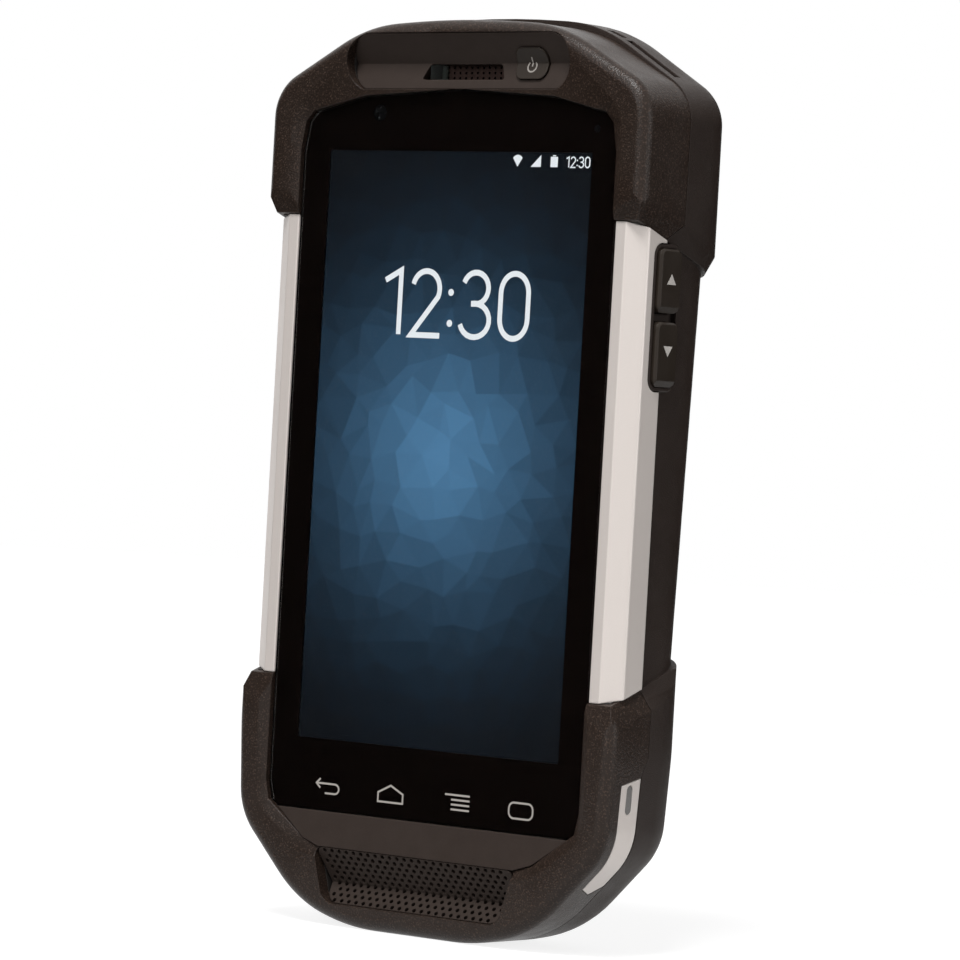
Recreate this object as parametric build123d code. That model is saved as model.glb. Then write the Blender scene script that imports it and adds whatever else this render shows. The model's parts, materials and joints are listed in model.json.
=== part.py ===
from build123d import *

import math
import os

# Hand-held touch terminal with a barcode scanner. Each sub-part is a STEP file of its own.
# X points right as seen from the front, +Y to the back and +Z up along the length.
# The origin is the middle of the base. All sizes are millimetres.

# Overall size
WIDTH = 84.0
DEPTH = 27.0
LENGTH = 160.5
HALF_WIDTH = WIDTH / 2
FRONT = -DEPTH / 2
BACK = DEPTH / 2
FAR = 2 * LENGTH  # reach of cutting bodies past the object

# Outline of the ends, seen from the front: corner points and their radii
SHOULDER_X = HALF_WIDTH - 20.5
SHOULDER_RADIUS = 30.0
CROWN_LEAN = 3.7
CROWN_END_X = SHOULDER_X - 8.0
HEAD_CORNER_DROP = 13.2
HEAD_CORNER_RADIUS = 8.5
FRONT_CROWN_DROP = 1.2
WAIST_Z = 34.5
WAIST_RADIUS = 60.0
HEEL_INSET = 1.0
HEEL_Z = 18.0
HEEL_RADIUS = 12.0
TOE_INSET = 15.5
TOE_Z = 3.3
TOE_RADIUS = 25.0
FOOT_INSET = 28.0
FOOT_RADIUS = 40.0
CROWN_RADIUS = CROWN_END_X / math.tan(math.radians(CROWN_LEAN))
CROWN_RISE = CROWN_RADIUS * (1 / math.cos(math.radians(CROWN_LEAN)) - 1)
SHOULDER_DROP = SHOULDER_X * math.tan(math.radians(CROWN_LEAN)) - CROWN_RISE
FRONT_CROWN = LENGTH - FRONT_CROWN_DROP

# Walls and edges
BUMPER_WALL = 2.4
CORE_WALL = 2.4
FRONT_EDGE_RADIUS = 2.2
HEAD_EDGE_RADIUS = 8.0
FOOT_EDGE_RADIUS = 9.5
GRIP_EDGE_RADIUS = 9.0
BACK_WALL = 2.7
CAVITY_INSET = BUMPER_WALL + CORE_WALL
CAVITY_HALF = HALF_WIDTH - CAVITY_INSET

# Depths that the front pieces share
GLASS_FRONT = FRONT + 1.8
LIP_FRONT = FRONT + 1.1
CORE_FRONT = FRONT + BUMPER_WALL
CORE_BACK = CORE_FRONT + CORE_WALL
RAIL_BACK = FRONT + 9.2
HEAD_SEAM = FRONT + 12.5
FOOT_SEAM = FRONT + 10.7
FOOT_SEAM_LOW = FRONT + 9.3
SEAM_GAP = 0.12

# Rails and the bumper ends that meet them on a slant
RAIL_INSET = 1.0
RAIL_TOP = LENGTH - 35.4
RAIL_BOTTOM = 43.3
END_SLANT = 20.0
END_CHAMFER = 4.5
END_INSET = 1.6
RAIL_WALL = 1.4
RAIL_FACE = 5.65
RAIL_SLOPE_RUN = 3.4
RAIL_SLOPE_DROP = 2.2
RAIL_RIDGE_RADIUS = 0.6
RAIL_FOLD_RADIUS = 0.7
RAIL_INNER_RADIUS = 2.6
RAIL_GAP = 0.15
RAIL_SEAT_GAP = 0.05
RAIL_HALF_WIDTH = HALF_WIDTH - RAIL_INSET
RAIL_MIDDLE_Z = (RAIL_TOP + RAIL_BOTTOM) / 2

# Grip, foot and back surfaces
GRIP_INSET = 2.0
GRIP_BACK_TOP = BACK - 0.3
GRIP_BACK_BOTTOM = BACK - 2.8
GRIP_TOP_Z = LENGTH - 41.0
GRIP_BOTTOM_Z = 48.5
FOOT_BACK = BACK - 3.3
GRIP_HALF_WIDTH = HALF_WIDTH - GRIP_INSET
GRIP_ROOM_BACK = GRIP_BACK_BOTTOM - 4.6

# Glass and display
GLASS_GAP = 0.2
GLASS_HALF_WIDTH = RAIL_HALF_WIDTH - RAIL_FACE - RAIL_GAP - GLASS_GAP
GLASS_TOP = LENGTH - 13.4
GLASS_BOTTOM = 19.9
GLASS_THICKNESS = 0.8
TOUCH_THICKNESS = 0.25
SIDE_BORDER = 5.75
TOP_BORDER = 10.6
BOTTOM_BORDER = 12.6
DISPLAY_RIM = 2.0
DISPLAY_THICKNESS = 1.8
DISPLAY_GAP = 0.3
GASKET_INSET = 0.6
CHIN_BOTTOM = 13.8
CHIN_CREST = -FRONT - 0.5
TOUCH_BACK = GLASS_FRONT + GLASS_THICKNESS + TOUCH_THICKNESS
DISPLAY_BACK = TOUCH_BACK + DISPLAY_THICKNESS
DISPLAY_HALF = GLASS_HALF_WIDTH - SIDE_BORDER + DISPLAY_RIM
DISPLAY_TOP = GLASS_TOP - TOP_BORDER + DISPLAY_RIM
DISPLAY_BOTTOM = GLASS_BOTTOM + BOTTOM_BORDER - DISPLAY_RIM
FRONT_CAMERA_X = 16.7 - GLASS_HALF_WIDTH
FRONT_CAMERA_Z = GLASS_TOP - 4.0
FRONT_CAMERA_RADIUS = 2.0
FRONT_CAMERA_BASE = 6.4
LENS_GAP = 0.05
LIGHT_SENSOR_X = GLASS_HALF_WIDTH - 5.0
LIGHT_SENSOR_Z = GLASS_TOP - 6.5
LIGHT_SENSOR_RADIUS = 0.8

# Inserts above and below the glass: shared gap and seat
INSERT_GAP = 0.1
INSERT_LEDGE = 1.0
INSERT_SEAT = FRONT + 4.1

# Insert above the glass, with its power button and sound slot
EAR_HALF_WIDTH = SHOULDER_X - 0.1
EAR_BULGE = 3.4
EAR_TOP = FRONT_CROWN - BUMPER_WALL
EAR_VALLEY_Z = LENGTH - 8.7
EAR_VALLEY = FRONT + 3.2
EAR_CREST = FRONT + 0.25
EAR_WALL = 1.4
POWER_X = EAR_HALF_WIDTH - 6.4
POWER_Z = LENGTH - 8.8
POWER_WIDTH = 6.8
POWER_HEIGHT = 5.4
POWER_RADIUS = 1.8
POWER_PROUD = 0.45
POWER_EDGE = 0.6
POWER_FLANGE_RISE = 1.2
SLOT_BUTTON_GAP = 2.4
SLOT_HALF_WIDTH = POWER_X - POWER_WIDTH / 2 - SLOT_BUTTON_GAP
SLOT_BOTTOM = LENGTH - 11.6
SLOT_HEIGHT = 2.8
SLOT_RAKE = 1.2
MESH_MARGIN = 0.4
MESH_THICKNESS = 0.4
RECEIVER_HALF_WIDTH = 6.2

# Speaker grille at the foot
GRILLE_TOP_HALF = HALF_WIDTH - 19.6
GRILLE_TAPER = 2.8
GRILLE_TOP = CHIN_BOTTOM - GLASS_GAP
GRILLE_BOTTOM = 4.1
GRILLE_VALLEY_Z = 7.5
GRILLE_VALLEY = FRONT + 3.4
GRILLE_CREST = FRONT + 0.5
GRILLE_LOW_CREST = FRONT + 0.8
GRILLE_WALL = 1.0
GRILLE_HOLE_RADIUS = 0.5
GRILLE_PITCH = 2.2
GRILLE_ROWS = 4
GRILLE_BOTTOM_HALF = GRILLE_TOP_HALF - GRILLE_TAPER
GRILLE_COLUMNS = int(2 * (GRILLE_BOTTOM_HALF - GRILLE_PITCH / 2) / GRILLE_PITCH) + 1

# Side keys
KEY_TRAVEL = 0.5
KEY_GAP = 0.12
KEY_CHAMFER = 0.4
KEY_CORNER = 1.3
KEY_TOE = 1.1
KEY_TOE_DROP = 0.7
KEY_PROUD = 0.9
KEY_FRONT = FRONT + 6.7
KEY_BACK = FRONT + 12.7
KEY_FRAME = 0.7
KEY_TOP = RAIL_TOP - 4.1
KEY_FLANGE = 0.6
KEY_SPLIT = 1.4
KEY_RIB_SINK = 1.2
SWITCH_WIDTH = 2.0
VOLUME_KEY_LENGTH = 11.15
SCAN_KEY_LENGTH = 25.05
TALK_KEY_LENGTH = 11.45
VOLUME_BOTTOM = KEY_TOP - 2 * VOLUME_KEY_LENGTH - KEY_SPLIT
LEFT_KEYS_BOTTOM = KEY_TOP - SCAN_KEY_LENGTH - TALK_KEY_LENGTH - KEY_SPLIT

# Lower side trims
TRIM_FRONT = FRONT + 4.1
TRIM_TOP = 31.0
TRIM_BOTTOM = 10.6
TRIM_THICKNESS = 1.4
TRIM_SLOT_WIDTH = 1.6
TRIM_SLOT_LENGTH = 5.0
TRIM_SLOT_Y = FRONT + 6.5
TRIM_SLOT_Z = 27.4

# Battery pack with its hooks, cell and pads
BAY_FLOOR = FRONT + 14.5
BAY_FLOOR_THICKNESS = 1.5
FLOOR_FRONT = BAY_FLOOR - BAY_FLOOR_THICKNESS
PACK_HALF_WIDTH = GRIP_HALF_WIDTH - 11.0
PACK_INNER = BAY_FLOOR + 0.7
PACK_BOTTOM = 26.6
PACK_TOP = LENGTH - 44.9
PACK_GAP = 0.4
PACK_WALL = 1.8
HOOK_Y = GRIP_BACK_BOTTOM - 2.6
HOOK_Z = PACK_BOTTOM + 2.4
HOOK_RADIUS = 1.5
HOOK_LENGTH = 2.4
HOOK_CLEARANCE = 0.05
HOOK_ARC = 1.8
PACK_LID = 1.0
CELL_GAP = 0.2
CELL_RADIUS = 1.5
PAD_COUNT = 4
PAD_PITCH = 4.0
PAD_WIDTH = 2.5
PAD_HEIGHT = 6.8
PAD_THICKNESS = 0.2
PAD_Z = PACK_BOTTOM + 14.9

# Battery lock
LOCK_Z = LENGTH - 35.7
LOCK_HALF_LENGTH = 8.0
LOCK_HALF_HEIGHT = 3.3
LOCK_TRAVEL = 4.0
LOCK_FLANGE = 1.0
LOCK_INNER = BACK - 3.8
LOCK_PLATE = 1.0
LOCK_GAP = 0.15
LOCK_TOP = BACK - 0.2
TONGUE_WIDTH = 5.0
TONGUE_REACH = 1.4
NOTCH_DEPTH = 2.0
CAP_SEAM = PACK_TOP - NOTCH_DEPTH - 2.2
CAP_GAP = 0.05

# Board and electronics
BOARD_FRONT = FRONT + 8.8
BOARD_THICKNESS = 1.0
BOARD_BACK = BOARD_FRONT + BOARD_THICKNESS
BOARD_HALF_WIDTH = PACK_HALF_WIDTH - 0.5
BOARD_BOTTOM = 24.0
BOARD_SHOULDER = LENGTH - 20.5
BOARD_TOP = LENGTH - 7.5
BOARD_HEAD_HALF = EAR_HALF_WIDTH - 1.9
FRAME_PLATE = 1.0
SHIELD_HEIGHT = 1.6
SHIELD_CANS = [(-13, 62, 22, 20), (13, 62, 20, 20), (-10, 92, 26, 24), (15, 92, 16, 24)]
ANTENNA_THICKNESS = 0.8
ANTENNA_WALL_GAP = 3.4
ANTENNA_LENGTH = 32.0

# Screws
SCREW_PLACES = [
    (HALF_WIDTH - 9.5, LENGTH - 24.0),
    (HALF_WIDTH - 19.2, LENGTH - 11.2),
    (HALF_WIDTH - 10.0, 22.0),
]
SCREW_RADIUS = 1.1
SCREW_HEAD_RADIUS = 2.1
SCREW_HEAD_HEIGHT = 1.6
SCREW_CLEARANCE = 0.25
SCREW_SINK = 1.9
BOSS_RADIUS = 2.7
POST_RADIUS = 3.2
POST_COVER = 1.0

# Seal between the housings
SEAL_INSET = 3.4
SEAL_WIDTH = 0.8
SEAL_DEPTH = 0.6

# Head: scan window, camera, tether slots
WINDOW_HALF_WIDTH = 14.0
WINDOW_FRONT = FRONT + 15.5
WINDOW_BACK = BACK - 4.5
WINDOW_SINK = 3.4
WINDOW_THICKNESS = 1.0
ENGINE_HALF_WIDTH = 11.0
ENGINE_LENGTH = 14.0
ENGINE_DROP = 8.0
ENGINE_LENS_RADIUS = 2.6
CAMERA_X = 18.0 - HALF_WIDTH
CAMERA_Z = LENGTH - 20.5
CAMERA_RADIUS = 3.6
CAMERA_BASE = 8.8
FLASH_OFFSET = 9.0
FLASH_RADIUS = 2.0
PILL_MARGIN = 1.0
CAMERA_GLASS = 0.8
TETHER_Y = FRONT + 15.2
TETHER_WIDTH = 1.8
TETHER_START = 6.2
TETHER_LONG = 12.5
TETHER_SHORT = 3.4
TETHER_RIB = 1.1
TETHER_DEPTH = 3.2

# Foot: dock contacts, microphone, loudspeaker and vibration motor
CONTACT_COUNT = 8
CONTACT_PITCH = 3.0
CONTACT_WIDTH = 1.6
CONTACT_HEIGHT = 4.4
CONTACT_Z = 13.0
CONTACT_SINK = 0.6
CONTACT_MARGIN = 0.7
MIC_X = 5.0
MIC_HOLE_RADIUS = 0.6
MIC_RADIUS = 2.0
MIC_HEIGHT = 1.6
SPEAKER_HALF_WIDTH = 15.0
SPEAKER_HEIGHT = 9.0
SPEAKER_CONE_RADIUS = 3.4
MOTOR_RADIUS = 3.5
MOTOR_GAP = 1.5
MOTOR_Y = FOOT_BACK - BACK_WALL - MOTOR_RADIUS - MOTOR_GAP
MOTOR_Z = 15.0
MOTOR_START = -24.0
MOTOR_LENGTH = 9.0
WEIGHT_RADIUS = 2.8
WEIGHT_LENGTH = 3.6


# Drawing helpers


def outline(corners):
    """Closed face with a rounded corner at each (across, up, radius)."""
    points = [(across, up) for across, up, _ in corners]
    return make_face(FilletPolyline(points, radius=[radius for _, _, radius in corners], close=True))


def polygon(points):
    """Closed face with sharp corners."""
    return make_face(Polyline(points, close=True))


def mirrored(right_half):
    """Corner points of the right half, then their mirror images in the opposite order."""
    left_half = [(-point[0], *point[1:]) for point in reversed(right_half) if point[0] > 0]
    return right_half + left_half


def prism(face, front, back):
    """Solid of a face drawn across X and Z, between two depths."""
    return extrude(Plane.XZ.offset(-back) * face, back - front)


def side_prism(face, left, right):
    """Solid of a face drawn across Y and Z, between two places along X."""
    return extrude(Plane.YZ.offset(left) * face, right - left)


def block(x_span, y_span, z_span):
    """Box between three (low, high) pairs."""
    spans = (x_span, y_span, z_span)
    middle = [(low + high) / 2 for low, high in spans]
    return Pos(*middle) * Box(*[high - low for low, high in spans])


def rod(x, z, radius, front, back):
    """Round bar along Y."""
    return Pos(x, (front + back) / 2, z) * Rot(90, 0, 0) * Cylinder(radius, back - front)


def cross_rod(y, z, radius, left, right):
    """Round bar along X."""
    return Pos((left + right) / 2, y, z) * Rot(0, 90, 0) * Cylinder(radius, right - left)


def both_sides(place):
    """The (x, z) of a place on the right and its mirror image on the left."""
    x, z = place
    return [(x, z), (-x, z)]


def group(shapes):
    """One node made of several separate solids."""
    solids = [solid for shape in shapes for solid in shape.solids()]
    return Compound(children=solids)


# Outlines


def terminal_outline(crown):
    """Front view of the whole terminal, with its top at the given height."""
    right_half = [
        (0, crown + CROWN_RISE, CROWN_RADIUS),
        (SHOULDER_X, crown - SHOULDER_DROP, SHOULDER_RADIUS),
        (HALF_WIDTH, LENGTH - HEAD_CORNER_DROP, HEAD_CORNER_RADIUS),
        (HALF_WIDTH, WAIST_Z, WAIST_RADIUS),
        (HALF_WIDTH - HEEL_INSET, HEEL_Z, HEEL_RADIUS),
        (HALF_WIDTH - TOE_INSET, TOE_Z, TOE_RADIUS),
        (HALF_WIDTH - FOOT_INSET, 0, FOOT_RADIUS),
    ]
    return outline(mirrored(right_half))


def glass_edge(gap):
    """Right half of the opening around the glass, above the chin, grown by a gap."""
    half = GLASS_HALF_WIDTH + gap
    top = GLASS_TOP + gap
    return [
        (0, top),
        (half - 14.2, top - 1.2),
        (half - 2.6, top - 3.9),
        (half - 0.9, top - 5.7),
        (half, top - 10.7),
    ]


def opening_corners(gap):
    """Right half of the whole opening: glass edge, then the chin's sloping corner."""
    half = GLASS_HALF_WIDTH + gap
    return glass_edge(gap) + [
        (half, GLASS_BOTTOM + 4.6),
        (half - 0.8, GLASS_BOTTOM + 1.0),
        (half - 9.4, CHIN_BOTTOM + 1.2 - gap),
        (half - 13.2, CHIN_BOTTOM - gap),
    ]


def bevel_corners():
    """Right half of the bevel's outer edge, one corner for each corner of the opening."""
    return [
        (0, EAR_TOP + 0.1),
        (SHOULDER_X - 1.0, EAR_TOP - 0.1),
        (HALF_WIDTH - 6.6, GLASS_TOP - 2.2),
        (HALF_WIDTH - 5.1, GLASS_TOP - 6.0),
        (HALF_WIDTH - 5.0, GLASS_TOP - 10.5),
        (HALF_WIDTH - 5.1, GLASS_BOTTOM + 3.6),
        (HALF_WIDTH - 5.9, GLASS_BOTTOM - 0.4),
        (HALF_WIDTH - 15.0, CHIN_BOTTOM - 1.0),
        (HALF_WIDTH - 19.2, CHIN_BOTTOM - 1.9),
    ]


def ear_outline(grow):
    """Insert above the glass, with bulged ends."""
    half = EAR_HALF_WIDTH + grow
    low, high = GLASS_TOP + GLASS_GAP - grow, EAR_TOP + grow
    bulge = EAR_BULGE + half
    right = ThreePointArc((half, low), (bulge, EAR_VALLEY_Z), (half - 0.8, high))
    left = ThreePointArc((-half + 0.8, high), (-bulge, EAR_VALLEY_Z), (-half, low))
    return make_face([right, Line(right @ 1, left @ 0), left, Line(left @ 1, right @ 0)])


def grille_outline(grow):
    """Insert at the foot, narrower towards the bottom."""
    corners = [
        (GRILLE_TOP_HALF + grow, GRILLE_TOP + grow, 1.0),
        (GRILLE_BOTTOM_HALF + grow, GRILLE_BOTTOM - grow, 3.0),
    ]
    return outline(mirrored(corners))


# Zones that cut the object into its ends and its halves


def slant_at(depth):
    """Height of the upper bumper's lower end at a depth."""
    return RAIL_TOP - math.tan(math.radians(END_SLANT)) * (depth - GLASS_FRONT)


def head_zone():
    """Space of the head above its slanted end, with the end chamfered on all four sides."""
    tilt = math.radians(END_SLANT)
    start = Plane(
        origin=(0, 0, slant_at(0)),
        x_dir=(1, 0, 0),
        z_dir=(0, math.sin(tilt), math.cos(tilt)),
    )

    def section(step, half_width, front, back, radius):
        low = (front - step * math.sin(tilt)) / math.cos(tilt)
        high = (back - step * math.sin(tilt)) / math.cos(tilt)
        corners = [(-half_width, low, 0), (half_width, low, 0)]
        corners += [(half_width, high, radius), (-half_width, high, radius)]
        return start.offset(step) * outline(corners)

    over = 0.3
    inset = END_INSET
    near = section(0, HALF_WIDTH - inset, FRONT + 1.5, BACK - inset, HEAD_EDGE_RADIUS - inset)
    wide = section(END_CHAMFER, HALF_WIDTH + over, FRONT - over, BACK + over, HEAD_EDGE_RADIUS - over)
    return loft([near, wide], ruled=True) + extrude(wide, LENGTH, dir=(0, 0, 1))


def foot_zone():
    """Space of the foot: the head's zone turned over."""
    return mirror(head_zone(), about=Plane.XY.offset(RAIL_MIDDLE_Z))


def rail_zone():
    """Slanted band between the two ends, less a gap."""
    high = [(depth, slant_at(depth) - RAIL_GAP) for depth in (-2 * DEPTH, 2 * DEPTH)]
    low = [(depth, 2 * RAIL_MIDDLE_Z - up) for depth, up in reversed(high)]
    return side_prism(polygon(high + low), -WIDTH, WIDTH)


def front_zone(grow):
    """Everything in front of the line where the housings part, moved back by grow."""
    shapes = []
    for left, right, tongue_bottom in (
        (-WIDTH, 0, LEFT_KEYS_BOTTOM - KEY_FRAME),
        (0, WIDTH, VOLUME_BOTTOM - KEY_FRAME),
    ):
        tongue_front = KEY_FRONT - KEY_GAP - KEY_FRAME
        tongue_top = KEY_TOP + KEY_FRAME
        points = [
            (-FAR, FAR),
            (HEAD_SEAM, FAR),
            (HEAD_SEAM, slant_at(HEAD_SEAM) + 3.9),
            (RAIL_BACK, slant_at(RAIL_BACK) - 0.2),
            (RAIL_BACK, tongue_top),
            (tongue_front, tongue_top),
            (tongue_front, tongue_bottom),
            (RAIL_BACK, tongue_bottom),
            (RAIL_BACK, 2 * RAIL_MIDDLE_Z - slant_at(RAIL_BACK)),
            (FOOT_SEAM, WAIST_Z + 8.0),
            (FOOT_SEAM, WAIST_Z),
            (FOOT_SEAM_LOW, WAIST_Z - 3.0),
            (FOOT_SEAM_LOW, -FAR),
            (-FAR, -FAR),
        ]
        face = polygon(points)
        if grow:
            face = offset(face, grow, kind=Kind.INTERSECTION)
        shapes.append(side_prism(face, left, right))
    return shapes[0] + shapes[1]


def rounded_slab(face, front, back, radius, at_back):
    """Prism with its whole front or back edge rounded."""
    slab = prism(face, front, back)
    rim = slab.faces().sort_by(Axis.Y)[-1 if at_back else 0].edges()
    return fillet(rim, radius)


# Front pieces


def key_window(side):
    """Space that the keys' frame takes out of a rail and the front housing."""
    grow = KEY_GAP + KEY_FRAME + SEAM_GAP
    face = rounded_span((KEY_FRONT, BACK), keys_height(side), grow)
    return side_prism(face, *sorted((side * (CAVITY_HALF - 1), side * WIDTH)))


def bumper(zone, pocket):
    """Textured end of the front: outer shell, bevelled around the glass and open for its insert."""
    shell = rounded_slab(terminal_outline(FRONT_CROWN), FRONT, HEAD_SEAM, FRONT_EDGE_RADIUS, False)
    core = offset(terminal_outline(FRONT_CROWN), -BUMPER_WALL)
    shell -= prism(core, CORE_FRONT, BACK)
    opening = polygon(mirrored(opening_corners(GLASS_GAP)))
    shell -= prism(opening, FRONT - 1, BACK)
    lip = Plane.XZ.offset(-LIP_FRONT) * opening
    crest = Plane.XZ.offset(-FRONT) * polygon(mirrored(bevel_corners()))
    shell -= loft([lip, crest], ruled=True)
    shell &= zone
    shell &= front_zone(0)
    return shell - prism(pocket, FRONT - 1, BACK)


def upper_bumper():
    return bumper(head_zone(), ear_outline(INSERT_GAP))


def trim_zone(grow):
    """Side view of the light strip on the lower bumper."""
    back = FOOT_SEAM_LOW
    corners = [
        (TRIM_FRONT, TRIM_TOP - 1.2),
        (back, TRIM_TOP),
        (back, TRIM_BOTTOM + 1.6),
        (back - 2.4, TRIM_BOTTOM),
        (TRIM_FRONT, TRIM_BOTTOM + 1.0),
    ]
    face = polygon(corners)
    return offset(face, grow, kind=Kind.INTERSECTION) if grow else face


def trim_slot(x_span, grow):
    """Rounded slot through a trim."""
    half = TRIM_SLOT_WIDTH / 2 + grow
    slot = Rot(0, 0, 90) * SlotOverall(TRIM_SLOT_LENGTH + 2 * grow, 2 * half)
    return side_prism(Pos(TRIM_SLOT_Y, TRIM_SLOT_Z) * slot, *x_span)


def trim_room(thickness, grow):
    """Space outside a depth below the outline, seen in the trim's own window."""
    inner = offset(terminal_outline(FRONT_CROWN), -thickness)
    window = side_prism(trim_zone(grow), -WIDTH, WIDTH)
    return window - prism(inner, FRONT - 1, BACK)


def lower_bumper():
    shell = bumper(foot_zone(), grille_outline(INSERT_GAP))
    return shell - trim_room(TRIM_THICKNESS + INSERT_GAP, INSERT_GAP)


def lower_trim(side):
    strip = prism(terminal_outline(FRONT_CROWN), FRONT, HEAD_SEAM) & trim_room(TRIM_THICKNESS, 0)
    near, far = sorted((0, side * WIDTH))
    strip &= block((near, far), (FRONT, BACK), (0, LENGTH))
    strip &= front_zone(-SEAM_GAP)
    reach = sorted((side * (HALF_WIDTH - 1.0), side * WIDTH))
    return strip - trim_slot(reach, 0)


def trim_slot_inserts():
    plugs = []
    whole = prism(terminal_outline(FRONT_CROWN), FRONT, BACK)
    for side in (-1, 1):
        reach = sorted((side * (HALF_WIDTH - 0.95), side * (HALF_WIDTH - 0.45)))
        plugs.append(trim_slot(reach, -0.05) & whole)
    return group(plugs)


def front_housing():
    """Inner frame: carries glass, display and bumpers, and takes the screws."""
    whole = terminal_outline(FRONT_CROWN)
    core = prism(offset(whole, -BUMPER_WALL), CORE_FRONT, HEAD_SEAM) & front_zone(0)
    core -= rail_room()
    core -= prism(glass_face(GLASS_GAP), FRONT, TOUCH_BACK)
    core -= block(
        (-DISPLAY_HALF - DISPLAY_GAP, DISPLAY_HALF + DISPLAY_GAP),
        (FRONT, BACK),
        (DISPLAY_BOTTOM - DISPLAY_GAP, DISPLAY_TOP + DISPLAY_GAP),
    )
    for insert in (ear_outline(INSERT_GAP), grille_outline(INSERT_GAP)):
        core -= prism(insert, FRONT, INSERT_SEAT)
        core -= prism(offset(insert, -INSERT_LEDGE), FRONT, CORE_BACK)
    core -= prism(offset(whole, -CAVITY_INSET), CORE_BACK, BACK)
    core -= rod(FRONT_CAMERA_X, FRONT_CAMERA_Z, FRONT_CAMERA_RADIUS + DISPLAY_GAP, FRONT, BACK)
    core -= rod(LIGHT_SENSOR_X, LIGHT_SENSOR_Z, LIGHT_SENSOR_RADIUS + DISPLAY_GAP, FRONT, BACK)
    for side in (-1, 1):
        core -= key_window(side)
    core -= seal_ring(0.05) & (front_zone(0.2) - front_zone(-SEAL_DEPTH - 0.05))
    for place in SCREW_PLACES:
        for x, z in both_sides(place):
            boss = rod(x, z, BOSS_RADIUS, CORE_BACK, BACK) & front_zone(0)
            core += boss
            core -= rod(x, z, SCREW_RADIUS, CORE_BACK + 1.0, BACK)
    return core


def seal_ring(grow):
    """Ring that the seal follows, at all depths."""
    whole = terminal_outline(FRONT_CROWN)
    ring = offset(whole, -SEAL_INSET + grow) - offset(whole, -SEAL_INSET - SEAL_WIDTH - grow)
    return prism(ring, CORE_FRONT + 1.0, BACK)


def housing_seal():
    return seal_ring(0) & (front_zone(0) - front_zone(-SEAL_DEPTH))


def rail_room():
    """Space outside the rails' inner faces, on both sides."""
    edge = RAIL_HALF_WIDTH - RAIL_WALL - RAIL_SEAT_GAP
    face = GLASS_FRONT + RAIL_WALL + RAIL_SEAT_GAP
    corners = [
        (GLASS_HALF_WIDTH + GLASS_GAP, FRONT, 0),
        (WIDTH, FRONT, 0),
        (WIDTH, BACK, 0),
        (edge, BACK, 0),
        (edge, face, RAIL_INNER_RADIUS - RAIL_SEAT_GAP),
        (GLASS_HALF_WIDTH + GLASS_GAP, face, 0),
    ]
    right = extrude(outline(corners), LENGTH) & rail_zone()
    return right + mirror(right, about=Plane.YZ)


def side_rail(side):
    """Light rail: a strip with a narrow flat, a slope and a side, that wraps the front housing's edge."""
    inner = GLASS_HALF_WIDTH + GLASS_GAP + RAIL_GAP
    profile = outline(
        [
            (inner, GLASS_FRONT, 0.3),
            (RAIL_HALF_WIDTH - RAIL_SLOPE_RUN, GLASS_FRONT, RAIL_RIDGE_RADIUS),
            (RAIL_HALF_WIDTH, GLASS_FRONT + RAIL_SLOPE_DROP, RAIL_FOLD_RADIUS),
            (RAIL_HALF_WIDTH, RAIL_BACK - RAIL_SEAT_GAP, 0),
            (RAIL_HALF_WIDTH - RAIL_WALL, RAIL_BACK - RAIL_SEAT_GAP, 0),
            (RAIL_HALF_WIDTH - RAIL_WALL, GLASS_FRONT + RAIL_WALL, RAIL_INNER_RADIUS),
            (inner, GLASS_FRONT + RAIL_WALL, 0),
        ]
    )
    rail = extrude(profile, LENGTH) & rail_zone()
    if side < 0:
        rail = mirror(rail, about=Plane.YZ)
    return rail - key_window(side)


def glass_face(gap):
    """Front view of the glass, grown by a gap: the opening, cut off above the chin."""
    above = Pos(0, GLASS_BOTTOM + LENGTH / 2) * Rectangle(WIDTH, LENGTH)
    return polygon(mirrored(opening_corners(gap))) & above


def cover_glass():
    return prism(glass_face(0), GLASS_FRONT, GLASS_FRONT + GLASS_THICKNESS)


def touch_panel():
    """Sensor film, flush with the display's edge all round."""
    return block(
        (-DISPLAY_HALF, DISPLAY_HALF),
        (GLASS_FRONT + GLASS_THICKNESS, TOUCH_BACK),
        (DISPLAY_BOTTOM, DISPLAY_TOP),
    )


def display_gasket():
    """Adhesive frame that holds the glass's border to the front housing."""
    frame = prism(offset(glass_face(0), -GASKET_INSET), GLASS_FRONT + GLASS_THICKNESS, TOUCH_BACK)
    frame -= block(
        (-DISPLAY_HALF - GASKET_INSET, DISPLAY_HALF + GASKET_INSET),
        (FRONT, BACK),
        (DISPLAY_BOTTOM - GASKET_INSET, DISPLAY_TOP + GASKET_INSET),
    )
    frame -= rod(FRONT_CAMERA_X, FRONT_CAMERA_Z, FRONT_CAMERA_RADIUS + DISPLAY_GAP, FRONT, BACK)
    return frame - rod(LIGHT_SENSOR_X, LIGHT_SENSOR_Z, LIGHT_SENSOR_RADIUS + DISPLAY_GAP, FRONT, BACK)


def display_module():
    return block((-DISPLAY_HALF, DISPLAY_HALF), (TOUCH_BACK, DISPLAY_BACK), (DISPLAY_BOTTOM, DISPLAY_TOP))


def display_flex():
    """Ribbon from the display's foot back to the board."""
    tab = block((-7, 7), (DISPLAY_BACK, DISPLAY_BACK + 0.12), (DISPLAY_BOTTOM + 0.1, DISPLAY_BOTTOM + 2.1))
    fall = block((-7, 7), (DISPLAY_BACK, BOARD_FRONT), (DISPLAY_BOTTOM + 0.1, DISPLAY_BOTTOM + 0.25))
    return tab + fall


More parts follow.
